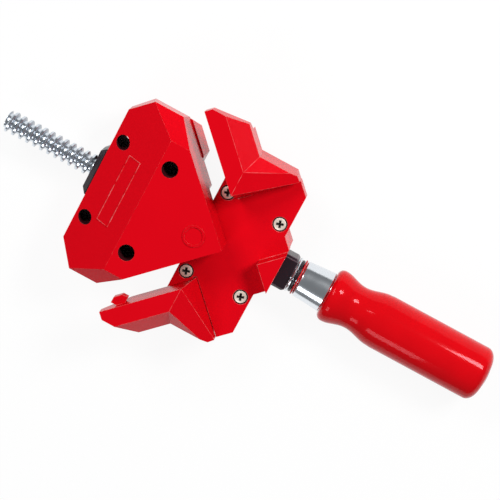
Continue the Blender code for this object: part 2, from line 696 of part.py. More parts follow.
def jaw_outline():
    """Plan of the jaw: a right-angled corner towards the handle, its two sharp ends cut off."""
    half = JAW_HALF_WIDTH
    back = JAW_BACK
    upper = [
        (JAW_CORNER - half, half),
        (back + JAW_BACK_BEVEL, half),
        (back, JAW_BACK_HALF_WIDTH),
    ]
    return [(JAW_CORNER, 0.0)] + upper + [(x, -y) for x, y in reversed(upper)]


def jaw_base_outline():
    """Plan of the jaw's lower casting, with a board rest standing out of each clamping face."""
    inset = JAW_BASE_INSET
    half = JAW_HALF_WIDTH - JAW_DRAFT
    back = JAW_BACK + GAP
    rest_x = JAW_CORNER - JAW_REST_START
    upper = [
        (JAW_STEP, JAW_CORNER - JAW_STEP - inset * ROOT2),
        (rest_x, JAW_REST_START - inset * ROOT2),
        (rest_x, JAW_REST_START + JAW_REST_REACH),
        (JAW_CORNER - JAW_HALF_WIDTH + JAW_REST_CUT, half),
        (back + JAW_BACK_BEVEL, half),
        (back, JAW_BACK_HALF_WIDTH),
    ]
    return [(x, -y) for x, y in reversed(upper)] + upper


def bench_bore_places():
    """The place and radius of the four bores for bench screws, back pair first."""
    back = (JAW_BACK + BENCH_BORE_BACK[0], BENCH_BORE_BACK[1], BENCH_BORE_BACK_RADIUS)
    front = (JAW_CORNER - BENCH_BORE_FRONT[0], BENCH_BORE_FRONT[1], BENCH_BORE_FRONT_RADIUS)
    return [(x, side * y, radius) for x, y, radius in (back, front) for side in (1, -1)]


def jaw_screw_places():
    """The four screws that hold the two jaw castings together, back pair first."""
    return [(JAW_CORNER - x, side * y) for x, y in (JAW_SCREW_BACK, JAW_SCREW_FRONT) for side in (1, -1)]


def nut_pocket(low, high):
    """The space in which the nut swivels, open at the jaw's back."""
    back_reach = NUT_PIVOT + NUT_BACK_REACH
    half = NUT_HALF_WIDTH / math.cos(SWING) + back_reach * math.tan(SWING) + 2.0 * GAP
    right = NUT_X + NUT_FRONT + NUT_HALF_WIDTH * math.sin(SWING) + 2.0 * GAP
    left = JAW_BACK - CUT_MARGIN
    return prism("pocket", [(left, -half), (right, -half), (right, half), (left, half)], low, high)


def cut_jaw_insides(casting):
    """Cut the nut's pocket and trunnion wells, the screw's channel, bench bores and screw holes."""
    low = AXIS_HEIGHT - NUT_HALF_HEIGHT - GAP
    high = AXIS_HEIGHT + NUT_HALF_HEIGHT + GAP
    reach = NUT_TRUNNION_LENGTH + GAP
    well = upright_cylinder("well", NUT_X, 0.0, low - reach, high + reach, NUT_TRUNNION_RADIUS + RUNNING_GAP)
    channel_half = SCREW_RADIUS + 2.0 * RUNNING_GAP
    channel = screw_channel("channel", NUT_X, JAW_CORNER + CUT_MARGIN, NUT_X,
                            AXIS_HEIGHT - channel_half, AXIS_HEIGHT + channel_half)
    cut(casting, nut_pocket(low, high), well, channel)
    for x, y, radius in bench_bore_places():
        cut(casting, upright_cylinder("bore", x, y, -0.001, TOP_LEVEL + 0.001, radius, 32))
    for x, y in jaw_screw_places():
        top = JAW_SCREW_RECESS + HEAD_THICKNESS + JAW_SHANK_LENGTH + GAP
        cut(casting, upright_cylinder("hole", x, y, -0.001, top, SHANK_RADIUS + GAP))


def make_jaw():
    """The upper jaw casting: sloped back, chamfered ends, hollow corner that slides over the cover."""
    jaw = prism("jaw_casting", jaw_outline(), PARTING_LEVEL + GAP / 2.0, TOP_LEVEL)
    crease_x = JAW_BACK + JAW_SLOPE_LENGTH
    slice_off(jaw, (crease_x, 0.0, TOP_LEVEL), (-JAW_SLOPE_DROP, 0.0, JAW_SLOPE_LENGTH))
    for side in (1, -1):
        slice_off(jaw, (0.0, side * JAW_BACK_HALF_WIDTH, TOP_LEVEL),
                  (0.0, side * JAW_SIDE_DROP, JAW_HALF_WIDTH - JAW_BACK_HALF_WIDTH))
    # the end walls draw in below the side facets
    facet_foot = TOP_LEVEL - JAW_SIDE_DROP
    wall_height = facet_foot - PARTING_LEVEL
    for side in (1, -1):
        slice_off(jaw, (0.0, side * JAW_HALF_WIDTH, facet_foot), (0.0, side * wall_height, -JAW_DRAFT))
    ring_x = JAW_CORNER - RING_MARK_SETBACK
    ring = upright_cylinder("ring", ring_x, 0.0, TOP_LEVEL - 0.001, TOP_LEVEL + RING_MARK_RISE,
                            RING_MARK_RADIUS, ROUND_SEGMENTS)
    cut(ring, upright_cylinder("ring_hole", ring_x, 0.0, TOP_LEVEL - 0.002, TOP_LEVEL + 0.002,
                               RING_MARK_RADIUS - RING_MARK_WIDTH, ROUND_SEGMENTS))
    join(jaw, ring)
    far = JAW_CORNER + CUT_MARGIN
    wide = JAW_HALF_WIDTH + CUT_MARGIN
    step = prism("step", [(JAW_STEP, -wide), (far, -wide), (far, wide), (JAW_STEP, wide)],
                 0.0, SUPPORT_LEVEL + SLIDE_GAP)
    inner_corner = JAW_CORNER - JAW_WALL * ROOT2
    pocket_left = JAW_STEP + JAW_WALL * 0.4
    pocket_half = inner_corner - pocket_left
    hollow = prism("hollow", [(pocket_left, -pocket_half), (inner_corner, 0.0), (pocket_left, pocket_half)],
                   0.0, TOP_LEVEL - JAW_ROOF)
    cut(jaw, step, hollow)
    cut_jaw_insides(jaw)
    return jaw


def make_jaw_base():
    """The lower jaw casting that slides on the bench and carries the board rests."""
    base = prism("jaw_base", jaw_base_outline(), 0.0, PARTING_LEVEL - GAP / 2.0)
    half = JAW_HALF_WIDTH - JAW_DRAFT
    bevel_run = half - JAW_BACK_HALF_WIDTH
    for side in (1, -1):
        end_wall = (0.0, side * PARTING_LEVEL, -JAW_BASE_DRAFT)
        slice_off(base, (0.0, side * half, PARTING_LEVEL), end_wall)
        bevel_wall = (-bevel_run * PARTING_LEVEL, side * JAW_BACK_BEVEL * PARTING_LEVEL,
                      -JAW_BASE_DRAFT * JAW_BACK_BEVEL)
        slice_off(base, (JAW_BACK, side * JAW_BACK_HALF_WIDTH, PARTING_LEVEL), bevel_wall)
    cut_jaw_insides(base)
    for x, y in jaw_screw_places():
        seat = JAW_SCREW_RECESS + HEAD_THICKNESS + GAP
        cut(base, upright_cylinder("recess", x, y, -0.001, seat, HEAD_RADIUS + GAP))
    return base


def make_nut():
    """The swivel nut: a bevelled block with a trunnion above and below and the screw's bore."""
    left = JAW_BACK - NUT_BACK_REACH
    right = NUT_X + NUT_FRONT
    half = NUT_HALF_WIDTH
    bevel = NUT_BEVEL
    low = AXIS_HEIGHT - NUT_HALF_HEIGHT
    high = AXIS_HEIGHT + NUT_HALF_HEIGHT
    nut = prism("swivel_nut", [(left, bevel - half), (left + bevel, -half), (right, -half), (right, half),
                               (left + bevel, half), (left, half - bevel)], low, high)
    for level in (1, -1):
        edge = (left, 0.0, AXIS_HEIGHT + level * (NUT_HALF_HEIGHT - bevel))
        slice_off(nut, edge, (-1.0, 0.0, level))
    top = upright_cylinder("trunnion", NUT_X, 0.0, high - 0.001, high + NUT_TRUNNION_LENGTH,
                           NUT_TRUNNION_RADIUS)
    bottom = upright_cylinder("trunnion", NUT_X, 0.0, low - NUT_TRUNNION_LENGTH, low + 0.001,
                              NUT_TRUNNION_RADIUS)
    join(nut, top, bottom)
    bore = SCREW_RADIUS + RUNNING_GAP
    cut(nut, solid_turned("bore", [(left - 0.001, 0.0), (left - 0.001, bore), (right + 0.001, bore),
                                   (right + 0.001, 0.0)]))
    return nut


def build():
    """Make every piece and hang it on its carrier."""
    clear_scene()
    red_paint = finish("red_paint", (0.72, 0.006, 0.010), 0.34, 0.0)
    red_lacquer = finish("red_lacquer", (0.72, 0.004, 0.008), 0.16, 0.0)
    zinc = finish("zinc", (0.72, 0.72, 0.70), 0.22, 1.0)
    chrome = finish("chrome", (0.80, 0.80, 0.82), 0.10, 1.0)
    black = finish("black", (0.018, 0.014, 0.017), 0.40, 0.0)
    nickel = finish("nickel", (0.70, 0.67, 0.60), 0.28, 1.0)
    red_fibre = finish("red_fibre", (0.55, 0.01, 0.01), 0.55, 0.0)

    frame = empty("frame_carrier", (0.0, 0.0, 0.0))
    swing = empty("swing_axis", (SWING_X, 0.0, AXIS_HEIGHT), frame)
    turn = empty("screw_axis", (SWING_X, 0.0, AXIS_HEIGHT), swing)
    slide = empty("nut_carrier", (NUT_X, 0.0, AXIS_HEIGHT), swing)
    swivel = empty("jaw_axis", (NUT_X, 0.0, AXIS_HEIGHT), slide)

    dress(make_frame(), red_paint, frame)
    dress(make_cover(), red_paint, frame)
    for number, (x, y) in enumerate(cover_screw_places(), 1):
        screw = pan_screw(f"cover_screw_{number}", x, y, SUPPORT_LEVEL - HEAD_THICKNESS, SUPPORT_LEVEL,
                          SUPPORT_LEVEL - HEAD_THICKNESS - COVER_SHANK_LENGTH)
        dress(screw, nickel, frame, 35.0)

    dress(make_block(), black, swing, 35.0)
    dress(make_spindle(), zinc, turn, 35.0)
    dress(make_washer("shoulder_washer", SHOULDER_WASHER_X, WASHER_THICKNESS, SHOULDER_WASHER_RADIUS),
          nickel, turn, 35.0)
    dress(make_washer("thrust_washer", WASHER_X, WASHER_THICKNESS, WASHER_RADIUS), chrome, turn, 35.0)
    dress(make_washer("spacer_washer", SPACER_X, SPACER_THICKNESS, SPACER_RADIUS), black, turn, 35.0)
    dress(make_washer("fibre_ring", RING_X, RING_THICKNESS, RING_RADIUS), red_fibre, turn, 35.0)
    spindle = bpy.data.objects["spindle"]
    cut(spindle, upright_cylinder("hole", pin_x(), 0.0, 0.0, AXIS_HEIGHT - JOURNAL_RADIUS / 2.0 + GAP,
                                  FERRULE_PIN_RADIUS + RUNNING_GAP, 16))
    dress(make_ferrule(), chrome, turn, 35.0)
    dress(make_pin(), nickel, turn, 35.0)
    dress(make_handle(), red_lacquer, turn, 35.0)

    dress(make_nut(), black, slide, 35.0)
    dress(make_jaw(), red_paint, swivel)
    dress(make_jaw_base(), red_paint, swivel)
    for number, (x, y) in enumerate(jaw_screw_places(), 1):
        screw = pan_screw(f"jaw_screw_{number}", x, y, JAW_SCREW_RECESS + HEAD_THICKNESS, JAW_SCREW_RECESS,
                          JAW_SCREW_RECESS + HEAD_THICKNESS + JAW_SHANK_LENGTH)
        dress(screw, nickel, swivel, 35.0)


build()
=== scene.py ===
"""Corner clamp: the dressed model, its stage and its camera.

Every length is in metres. X runs along the screw towards the handle, Y to the far arm, Z up from the bench.
"""

import logging
import math
from dataclasses import dataclass, field
from enum import Enum
from typing import Callable

import bpy
from mathutils import Matrix, Vector


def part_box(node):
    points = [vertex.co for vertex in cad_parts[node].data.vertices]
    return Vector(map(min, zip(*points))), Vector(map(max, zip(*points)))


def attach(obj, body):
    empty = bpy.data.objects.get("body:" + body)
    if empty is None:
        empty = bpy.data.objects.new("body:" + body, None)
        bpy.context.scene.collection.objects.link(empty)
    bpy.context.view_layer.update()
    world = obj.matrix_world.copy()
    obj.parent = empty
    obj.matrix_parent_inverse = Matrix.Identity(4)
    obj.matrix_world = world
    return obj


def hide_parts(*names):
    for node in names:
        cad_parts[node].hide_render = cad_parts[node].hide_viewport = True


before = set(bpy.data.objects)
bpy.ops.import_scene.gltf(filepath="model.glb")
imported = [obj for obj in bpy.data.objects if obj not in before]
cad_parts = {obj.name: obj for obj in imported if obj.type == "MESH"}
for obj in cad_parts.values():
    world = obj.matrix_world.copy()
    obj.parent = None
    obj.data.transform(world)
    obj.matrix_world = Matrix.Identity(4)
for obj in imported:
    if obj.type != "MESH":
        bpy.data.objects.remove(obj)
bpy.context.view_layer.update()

Colour = tuple[float, float, float]
Place = tuple[float, float, float]
PlanPlace = tuple[float, float]
Section = tuple[float, float]
Piece = bpy.types.Object
Material = bpy.types.Material
Tree = bpy.types.ShaderNodeTree
Node = bpy.types.ShaderNode
Socket = bpy.types.NodeSocket
FaceTest = Callable[[bpy.types.MeshPolygon], bool]

log = logging.getLogger("corner_clamp")

AXIS_HEIGHT = 0.017
# faces of the rounding, along which the finishes paint a highlight
EDGE_ATTRIBUTE = "rounded_edge"
# faces that get painted shade: bench bore walls, screw crosses and head rims, and one flank of each thread
# groove
SHADED_RECESS_ATTRIBUTE = "painted_recess_shade"
# the colour sockets of a Mix node, whose names its other sockets share
MIX_FIRST, MIX_SECOND, MIX_RESULT = 6, 7, 2
SQUARE_TURN = math.pi / 2.0
HALF_ROOT = 1.0 / math.sqrt(2.0)
MERGE_DISTANCE = 1e-6


class Slot(Enum):
    """The record's material slots."""

    RED_PAINT = "red_paint"
    RED_LACQUER = "red_lacquer"
    ZINC = "zinc"
    CHROME = "chrome"
    BLACK = "black"
    NICKEL = "nickel"
    RED_FIBRE = "red_fibre"


class Body(Enum):
    """The bodies that pieces ride on."""

    FRAME = "frame"
    BEARING = "bearing"
    SCREW = "screw"
    NUT = "nut"
    JAW = "jaw"


class Axis(Enum):
    """The ways a cylinder can point, with the turn that points it there."""

    X = (0.0, SQUARE_TURN, 0.0)
    Z = (0.0, 0.0, 0.0)


class Fit(Enum):
    """What is done with a second body: cut it away, join it on, or keep only what lies within it."""

    CUT = "DIFFERENCE"
    JOIN = "UNION"
    KEEP_WITHIN = "INTERSECT"


# Shader effects that several finishes share


def new_group(name: str, inputs: dict[str, float], outputs: dict[str, str]) -> Tree:
    """Start a shader node group with named sockets.

    Args:
        name: The group's name.
        inputs: Each float input's name and value.
        outputs: Each output's name and socket type.

    Returns:
        The group's node tree, with its input and output nodes in place.
    """
    tree = bpy.data.node_groups.new(name, "ShaderNodeTree")
    for label, value in inputs.items():
        socket = tree.interface.new_socket(label, in_out="INPUT", socket_type="NodeSocketFloat")
        socket.default_value = value
    for label, kind in outputs.items():
        tree.interface.new_socket(label, in_out="OUTPUT", socket_type=kind)
    tree.nodes.new("NodeGroupInput").location = (-900, 0)
    tree.nodes.new("NodeGroupOutput").location = (600, 0)
    return tree


def edge_highlight_group() -> Tree:
    """Build the mask of a painted highlight: thin, slightly broken light lines along the rounded edges.

    Returns:
        A group with the inputs Amount and Break Scale and the output Mask.
    """
    tree = new_group("edge_highlight", {"Amount": 0.5, "Break Scale": 300.0}, {"Mask": "NodeSocketFloat"})
    nodes, links = tree.nodes, tree.links
    source, target = nodes["Group Input"], nodes["Group Output"]
    edges = nodes.new("ShaderNodeAttribute")
    edges.attribute_name = EDGE_ATTRIBUTE
    place = nodes.new("ShaderNodeTexCoord")
    noise = nodes.new("ShaderNodeTexNoise")
    noise.inputs["Detail"].default_value = 3.0
    broken = nodes.new("ShaderNodeMapRange")
    broken.inputs["From Min"].default_value = 0.30
    broken.inputs["From Max"].default_value = 0.62
    product = nodes.new("ShaderNodeMath")
    product.operation = "MULTIPLY"
    scaled = nodes.new("ShaderNodeMath")
    scaled.operation = "MULTIPLY"
    links.new(place.outputs["Object"], noise.inputs["Vector"])
    links.new(source.outputs["Break Scale"], noise.inputs["Scale"])
    links.new(noise.outputs["Fac"], broken.inputs["Value"])
    links.new(edges.outputs["Fac"], product.inputs[0])
    links.new(broken.outputs["Result"], product.inputs[1])
    links.new(product.outputs["Value"], scaled.inputs[0])
    links.new(source.outputs["Amount"], scaled.inputs[1])
    links.new(scaled.outputs["Value"], target.inputs["Mask"])
    return tree


def surface_relief_group() -> Tree:
    """Build the fine relief of a sprayed or plated surface, and a slow variation over it.

    Returns:
        A group with the inputs Fine Scale and Broad Scale and the outputs Height and Cloud.
    """
    tree = new_group("surface_relief", {"Fine Scale": 900.0, "Broad Scale": 40.0},
                     {"Height": "NodeSocketFloat", "Cloud": "NodeSocketFloat"})
    nodes, links = tree.nodes, tree.links
    source, target = nodes["Group Input"], nodes["Group Output"]
    place = nodes.new("ShaderNodeTexCoord")
    fine = nodes.new("ShaderNodeTexNoise")
    fine.inputs["Detail"].default_value = 2.0
    broad = nodes.new("ShaderNodeTexNoise")
    broad.inputs["Detail"].default_value = 4.0
    links.new(place.outputs["Object"], fine.inputs["Vector"])
    links.new(place.outputs["Object"], broad.inputs["Vector"])
    links.new(source.outputs["Fine Scale"], fine.inputs["Scale"])
    links.new(source.outputs["Broad Scale"], broad.inputs["Scale"])
    links.new(fine.outputs["Fac"], target.inputs["Height"])
    links.new(broad.outputs["Fac"], target.inputs["Cloud"])
    return tree


def turning_marks_group() -> Tree:
    """Build fine rings round the screw's axis, as a lathe or a polishing belt leaves.

    Returns:
        A group with the inputs Ring Scale and Waver and the output Rings.
    """
    tree = new_group("turning_marks", {"Ring Scale": 1400.0, "Waver": 0.4}, {"Rings": "NodeSocketFloat"})
    nodes, links = tree.nodes, tree.links
    source, target = nodes["Group Input"], nodes["Group Output"]
    place = nodes.new("ShaderNodeTexCoord")
    stretch = nodes.new("ShaderNodeMapping")
    stretch.inputs["Scale"].default_value = (1.0, 0.02, 0.02)
    rings = nodes.new("ShaderNodeTexNoise")
    rings.inputs["Detail"].default_value = 2.0
    links.new(place.outputs["Object"], stretch.inputs["Vector"])
    links.new(stretch.outputs["Vector"], rings.inputs["Vector"])
    links.new(source.outputs["Ring Scale"], rings.inputs["Scale"])
    links.new(source.outputs["Waver"], rings.inputs["Distortion"])
    links.new(rings.outputs["Fac"], target.inputs["Rings"])
    return tree


class Effects:
    """The shared shader groups, each built once."""

    _built: dict[str, Tree] = {}

    @classmethod
    def get(cls, maker: Callable[[], Tree]) -> Tree:
        """Give the group that a maker builds, building it on first use.

        Args:
            maker: One of the group functions above.

        Returns:
            The shared node group.
        """
        if maker.__name__ not in cls._built:
            cls._built[maker.__name__] = maker()
        return cls._built[maker.__name__]


# Finishes


@dataclass(frozen=True)
class Finish:
    """A painted, plated or lacquered surface."""

    name: str
    colour: Colour
    # colour and strength of the painted highlight along rounded edges
    edge_highlight_colour: Colour
    roughness: float
    roughness_spread: float = 0.06
    metallic: float = 0.0
    edge_highlight: float = 0.35
    tint_spread: float = 0.06
    fine_scale: float = 900.0
    broad_scale: float = 40.0
    relief: float = 0.04
    rings: float = 0.0
    coat: float = 0.0
    specular: float = 0.5
    recess_shade: float = 0.95
    sheen_tint: Colour = (1.0, 1.0, 1.0)

    def place_group(self, material: Material, maker: Callable[[], Tree], values: dict[str, float]) -> Node:
        """Put a shared effect into a material.

        Args:
            material: The material to add to.
            maker: The effect's group function.
            values: The effect's input values.

        Returns:
            The group node.
        """
        node = material.node_tree.nodes.new("ShaderNodeGroup")
        node.node_tree = Effects.get(maker)
        for label, value in values.items():
            node.inputs[label].default_value = value
        return node

    def build(self) -> Material:
        """Build the finish as a material.

        Returns:
            The material.
        """
        material = bpy.data.materials.new(self.name)
        material.use_nodes = True
        nodes, links = material.node_tree.nodes, material.node_tree.links
        shader = nodes["Principled BSDF"]
        shader.inputs["Metallic"].default_value = self.metallic
        shader.inputs["Coat Weight"].default_value = self.coat
        shader.inputs["Coat Roughness"].default_value = 0.06
        shader.inputs["Specular IOR Level"].default_value = self.specular
        shader.inputs["Specular Tint"].default_value = (*self.sheen_tint, 1.0)
        relief = self.place_group(material, surface_relief_group,
                                  {"Fine Scale": self.fine_scale, "Broad Scale": self.broad_scale})
        links.new(self.mix_colour(material, relief), shader.inputs["Base Color"])
        links.new(self.vary_gloss(material, relief), shader.inputs["Roughness"])
        links.new(self.raise_relief(material, relief), shader.inputs["Normal"])
        return material

    def mix_colour(self, material: Material, relief: Node) -> Socket:
        """Let the colour change slowly, paint a highlight along the edges and paint shade in recesses.

        Args:
            material: The material to add to.
            relief: The surface's relief group.

        Returns:
            The colour.
        """
        nodes, links = material.node_tree.nodes, material.node_tree.links
        # painted highlight along the rounded edges
        edges = self.place_group(material, edge_highlight_group,
                                 {"Amount": self.edge_highlight, "Break Scale": 260.0})
        tone = nodes.new("ShaderNodeMapRange")
        tone.inputs["From Min"].default_value = 0.3
        tone.inputs["From Max"].default_value = 0.7
        tone.inputs["To Min"].default_value = 0.0
        tone.inputs["To Max"].default_value = self.tint_spread
        shade = nodes.new("ShaderNodeMix")
        shade.data_type = "RGBA"
        shade.blend_type = "MULTIPLY"
        shade.inputs[MIX_FIRST].default_value = (*self.colour, 1.0)
        shade.inputs[MIX_SECOND].default_value = (0.55, 0.50, 0.52, 1.0)
        lit = nodes.new("ShaderNodeMix")
        lit.data_type = "RGBA"
        lit.inputs[MIX_SECOND].default_value = (*self.edge_highlight_colour, 1.0)
        links.new(relief.outputs["Cloud"], tone.inputs["Value"])
        links.new(tone.outputs["Result"], shade.inputs["Factor"])
        links.new(shade.outputs[MIX_RESULT], lit.inputs[MIX_FIRST])
        links.new(edges.outputs["Mask"], lit.inputs["Factor"])
        return self.paint_recess_shade(material, lit.outputs[MIX_RESULT])

    def vary_gloss(self, material: Material, relief: Node) -> Socket:
        """Let the gloss change slowly over the surface and take it from the recesses.

        Args:
            material: The material to add to, which has its recess nodes already.
            relief: The surface's relief group.

        Returns:
            The roughness.
        """
        nodes, links = material.node_tree.nodes, material.node_tree.links
        gloss = nodes.new("ShaderNodeMapRange")
        gloss.inputs["From Min"].default_value = 0.25
        gloss.inputs["From Max"].default_value = 0.75
        gloss.inputs["To Min"].default_value = self.roughness - self.roughness_spread
        gloss.inputs["To Max"].default_value = self.roughness + self.roughness_spread
        dull = nodes.new("ShaderNodeMath")
        dull.operation = "MAXIMUM"
        links.new(relief.outputs["Cloud"], gloss.inputs["Value"])
        links.new(gloss.outputs["Result"], dull.inputs[0])
        links.new(nodes["Painted Shade"].outputs["Value"], dull.inputs[1])
        return dull.outputs["Value"]

    def raise_relief(self, material: Material, relief: Node) -> Socket:
        """Raise the fine relief, with turning marks where the finish has them.

        Args:
            material: The material to add to.
            relief: The surface's relief group.

        Returns:
            The normal.
        """
        nodes, links = material.node_tree.nodes, material.node_tree.links
        bump = nodes.new("ShaderNodeBump")
        bump.inputs["Strength"].default_value = self.relief
        bump.inputs["Distance"].default_value = 0.0004
        height = relief.outputs["Height"]
        if self.rings > 0.0:
            marks = self.place_group(material, turning_marks_group, {"Ring Scale": 1400.0, "Waver": 0.2})
            both = nodes.new("ShaderNodeMath")
            both.operation = "MULTIPLY_ADD"
            both.inputs[1].default_value = self.rings
            links.new(marks.outputs["Rings"], both.inputs[0])
            links.new(relief.outputs["Height"], both.inputs[2])
            height = both.outputs["Value"]
        links.new(height, bump.inputs["Height"])
        return bump.outputs["Normal"]

    def paint_recess_shade(self, material: Material, colour: Socket) -> Socket:
        """Paint shade on the faces marked as a recess: a near-black colour stands in for the shade inside
        bores, screw crosses, head rims and thread grooves.

        Args:
            material: The material to add to.
            colour: The colour so far.

        Returns:
            The darkened colour.
        """
        nodes, links = material.node_tree.nodes, material.node_tree.links
        recess = nodes.new("ShaderNodeAttribute")
        recess.attribute_name = SHADED_RECESS_ATTRIBUTE
        share = nodes.new("ShaderNodeMath")
        share.name = "Painted Shade"
        share.operation = "MULTIPLY"
        share.inputs[1].default_value = self.recess_shade
        dark = nodes.new("ShaderNodeMix")
        dark.data_type = "RGBA"
        # the colour of the painted shade
        dark.inputs[MIX_SECOND].default_value = (0.020, 0.008, 0.010, 1.0)
        links.new(recess.outputs["Fac"], share.inputs[0])
        links.new(share.outputs["Value"], dark.inputs["Factor"])
        links.new(colour, dark.inputs[MIX_FIRST])
        return dark.outputs[MIX_RESULT]


# the second colour of each finish is its painted highlight along rounded edges
RED_ENAMEL = Finish("red_enamel", (0.66, 0.0020, 0.0075), (0.95, 0.45, 0.45), 0.20, 0.04, 0.0, 0.35, 0.06,
                    1100.0, 45.0, 0.035, specular=0.12, sheen_tint=(1.0, 0.15, 0.42))
RED_GLAZE = Finish("red_glaze", (0.62, 0.0020, 0.0055), (0.85, 0.06, 0.05), 0.10, 0.03, 0.0, 0.10, 0.16,
                   420.0, 60.0, 0.05, specular=0.22, sheen_tint=(1.0, 0.45, 0.50))
BRIGHT_ZINC = Finish("bright_zinc", (0.72, 0.78, 0.84), (0.95, 0.97, 0.98), 0.20, 0.06, 1.0, 0.50, 0.10,
                     1500.0, 120.0, 0.05, rings=0.4, recess_shade=0.36)
POLISHED_CHROME = Finish("polished_chrome", (0.80, 0.84, 0.88), (0.95, 0.95, 0.95), 0.19, 0.04, 1.0, 0.20,
                         0.03, 1500.0, 80.0, 0.02, rings=0.8)
BLACK_OXIDE = Finish("black_oxide", (0.016, 0.005, 0.011), (0.16, 0.09, 0.12), 0.30, 0.08, 0.0, 0.60, 0.20,
                     1300.0, 90.0, 0.10)
DULL_NICKEL = Finish("dull_nickel", (0.88, 0.80, 0.68), (0.97, 0.93, 0.84), 0.40, 0.08, 0.45, 0.40, 0.15,
                     1800.0, 200.0, 0.06)
RED_GASKET = Finish("red_gasket", (0.60, 0.006, 0.010), (0.80, 0.05, 0.05), 0.48, 0.06, 0.0, 0.10, 0.08,
                    2200.0, 120.0, 0.10)


class Paints:
    """Each finish made once and shared."""

    _mixed: dict[str, Material] = {}

    @classmethod
    def get(cls, finish: Finish) -> Material:
        """Give a finish as a material, building it on first use."""
        if finish.name not in cls._mixed:
            cls._mixed[finish.name] = finish.build()
        return cls._mixed[finish.name]


# Modelling helpers


def add_object(name: str, data: bpy.types.ID | None) -> Piece:
    """Add an object to the scene.

    Args:
        name: Its name.
        data: Its mesh, lamp or camera, or None for a bare point.

    Returns:
        The object.
    """
    added = bpy.data.objects.new(name, data)
    bpy.context.scene.collection.objects.link(added)
    return added


class Bench:
    """Modelling steps that the sub-assemblies share."""

    rounding_steps = 2
    rounded_above_deg = 20.0
    smooth_below_deg = 35.0

    @staticmethod
    def edit() -> None:
        """Enter edit mode."""
        bpy.ops.object.mode_set(mode="EDIT")

    @staticmethod
    def leave() -> None:
        """Leave edit mode."""
        bpy.ops.object.mode_set(mode="OBJECT")

    @classmethod
    def deselect(cls) -> None:
        """Leave edit mode and deselect everything."""
        if bpy.context.object is not None and bpy.context.object.mode != "OBJECT":
            cls.leave()
        bpy.ops.object.select_all(action="DESELECT")

    @classmethod
    def take(cls, piece: Piece) -> None:
        """Select one piece alone and make it active."""
        cls.deselect()
        piece.select_set(True)
        bpy.context.view_layer.objects.active = piece

    @classmethod
    def settle(cls, piece: Piece) -> None:
        """Move a piece's place, turn and size into its mesh."""
        cls.take(piece)
        bpy.ops.object.transform_apply(location=True, rotation=True, scale=True)

    @classmethod
    def apply(cls, piece: Piece, modifier: bpy.types.Modifier) -> None:
        """Apply one modifier."""
        cls.take(piece)
        bpy.ops.object.modifier_apply(modifier=modifier.name)

    @classmethod
    def cylinder(cls, name: str, centre: Place, radius: float, depth: float, axis: Axis, sides: int) -> Piece:
        """Add a cylinder at its size and place.

        Args:
            name: The piece's name.
            centre: The cylinder's middle.
            radius: Its radius.
            depth: Its length.
            axis: The way it points.
            sides: Its number of side faces.

        Returns:
            The cylinder, with its place in its mesh.
        """
        cls.deselect()
        bpy.ops.mesh.primitive_cylinder_add(vertices=sides, radius=radius, depth=depth, location=centre,
                                            rotation=axis.value)
        piece = bpy.context.active_object
        piece.name = name
        cls.settle(piece)
        return piece

    @classmethod
    def select_faces(cls, piece: Piece, test: FaceTest) -> None:
        """Enter edit mode with the faces selected that pass a test.

        Args:
            piece: The piece to work on.
            test: Says of a face whether it is wanted.
        """
        cls.take(piece)
        cls.edit()
        bpy.ops.mesh.select_mode(type="FACE")
        bpy.ops.mesh.select_all(action="DESELECT")
        cls.leave()
        for face in piece.data.polygons:
            face.select = test(face)
        cls.edit()

    @classmethod
    def tidy(cls, piece: Piece, angle_deg: float) -> None:
        """Merge doubles, turn faces outwards and shade smooth up to an angle.

        Args:
            piece: The piece to finish.
            angle_deg: Edges sharper than this stay sharp.
        """
        cls.take(piece)
        cls.edit()
        bpy.ops.mesh.select_all(action="SELECT")
        bpy.ops.mesh.remove_doubles(threshold=MERGE_DISTANCE)
        bpy.ops.mesh.normals_make_consistent(inside=False)
        cls.leave()
        bpy.ops.object.shade_smooth_by_angle(angle=math.radians(angle_deg))

    @classmethod
    def turned(cls, name: str, sections: list[Section], sides: int) -> Piece:
        """Model a closed turned body along the screw's axis by extruding and resizing a disc.

        Args:
            name: The piece's name.
            sections: (x, radius) pairs from one end to the other.
            sides: The number of faces round it.

        Returns:
            The piece.
        """
        cls.deselect()
        x, radius = sections[0]
        bpy.ops.mesh.primitive_circle_add(vertices=sides, radius=radius, fill_type="NGON",
                                          location=(x, 0.0, AXIS_HEIGHT), rotation=Axis.X.value)
        piece = bpy.context.active_object
        piece.name = name
        cls.settle(piece)
        cls.edit()
        bpy.ops.mesh.select_mode(type="FACE")
        bpy.ops.mesh.select_all(action="SELECT")
        for next_x, next_radius in sections[1:]:
            bpy.ops.mesh.extrude_region_move(TRANSFORM_OT_translate={"value": (next_x - x, 0.0, 0.0)})
            growth = next_radius / radius
            bpy.ops.transform.resize(value=(1.0, growth, growth), center_override=(next_x, 0.0, AXIS_HEIGHT))
            x, radius = next_x, next_radius
        cls.leave()
        cls.tidy(piece, 30.0)
        return piece

    @classmethod
    def combine(cls, piece: Piece, tool: Piece, fit: Fit) -> None:
        """Apply a Boolean with a second body and remove that body.

        Args:
            piece: The piece that stays.
            tool: The second body.
            fit: What is done with it.
        """
        step = piece.modifiers.new("combine", "BOOLEAN")
        step.operation = fit.value
        step.solver = "EXACT"
        step.object = tool
        cls.apply(piece, step)
        bpy.data.objects.remove(tool, do_unlink=True)

    @classmethod
    def softened(cls, node: str, name: str, width: float) -> Piece:
        """Copy a CAD node as one clean mesh and round its edges, as a casting's or a machined part's are.

        Args:
            node: The CAD node's name.
            name: The new piece's name.
            width: The rounding's width.

        Returns:
            The piece, which replaces the node.
        """
        piece = add_object(name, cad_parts[node].data.copy())
        cls.take(piece)
        cls.edit()
        bpy.ops.mesh.select_all(action="SELECT")
        bpy.ops.mesh.remove_doubles(threshold=2e-6)
        bpy.ops.mesh.dissolve_limited(angle_limit=math.radians(0.6))
        bpy.ops.mesh.normals_make_consistent(inside=False)
        cls.leave()
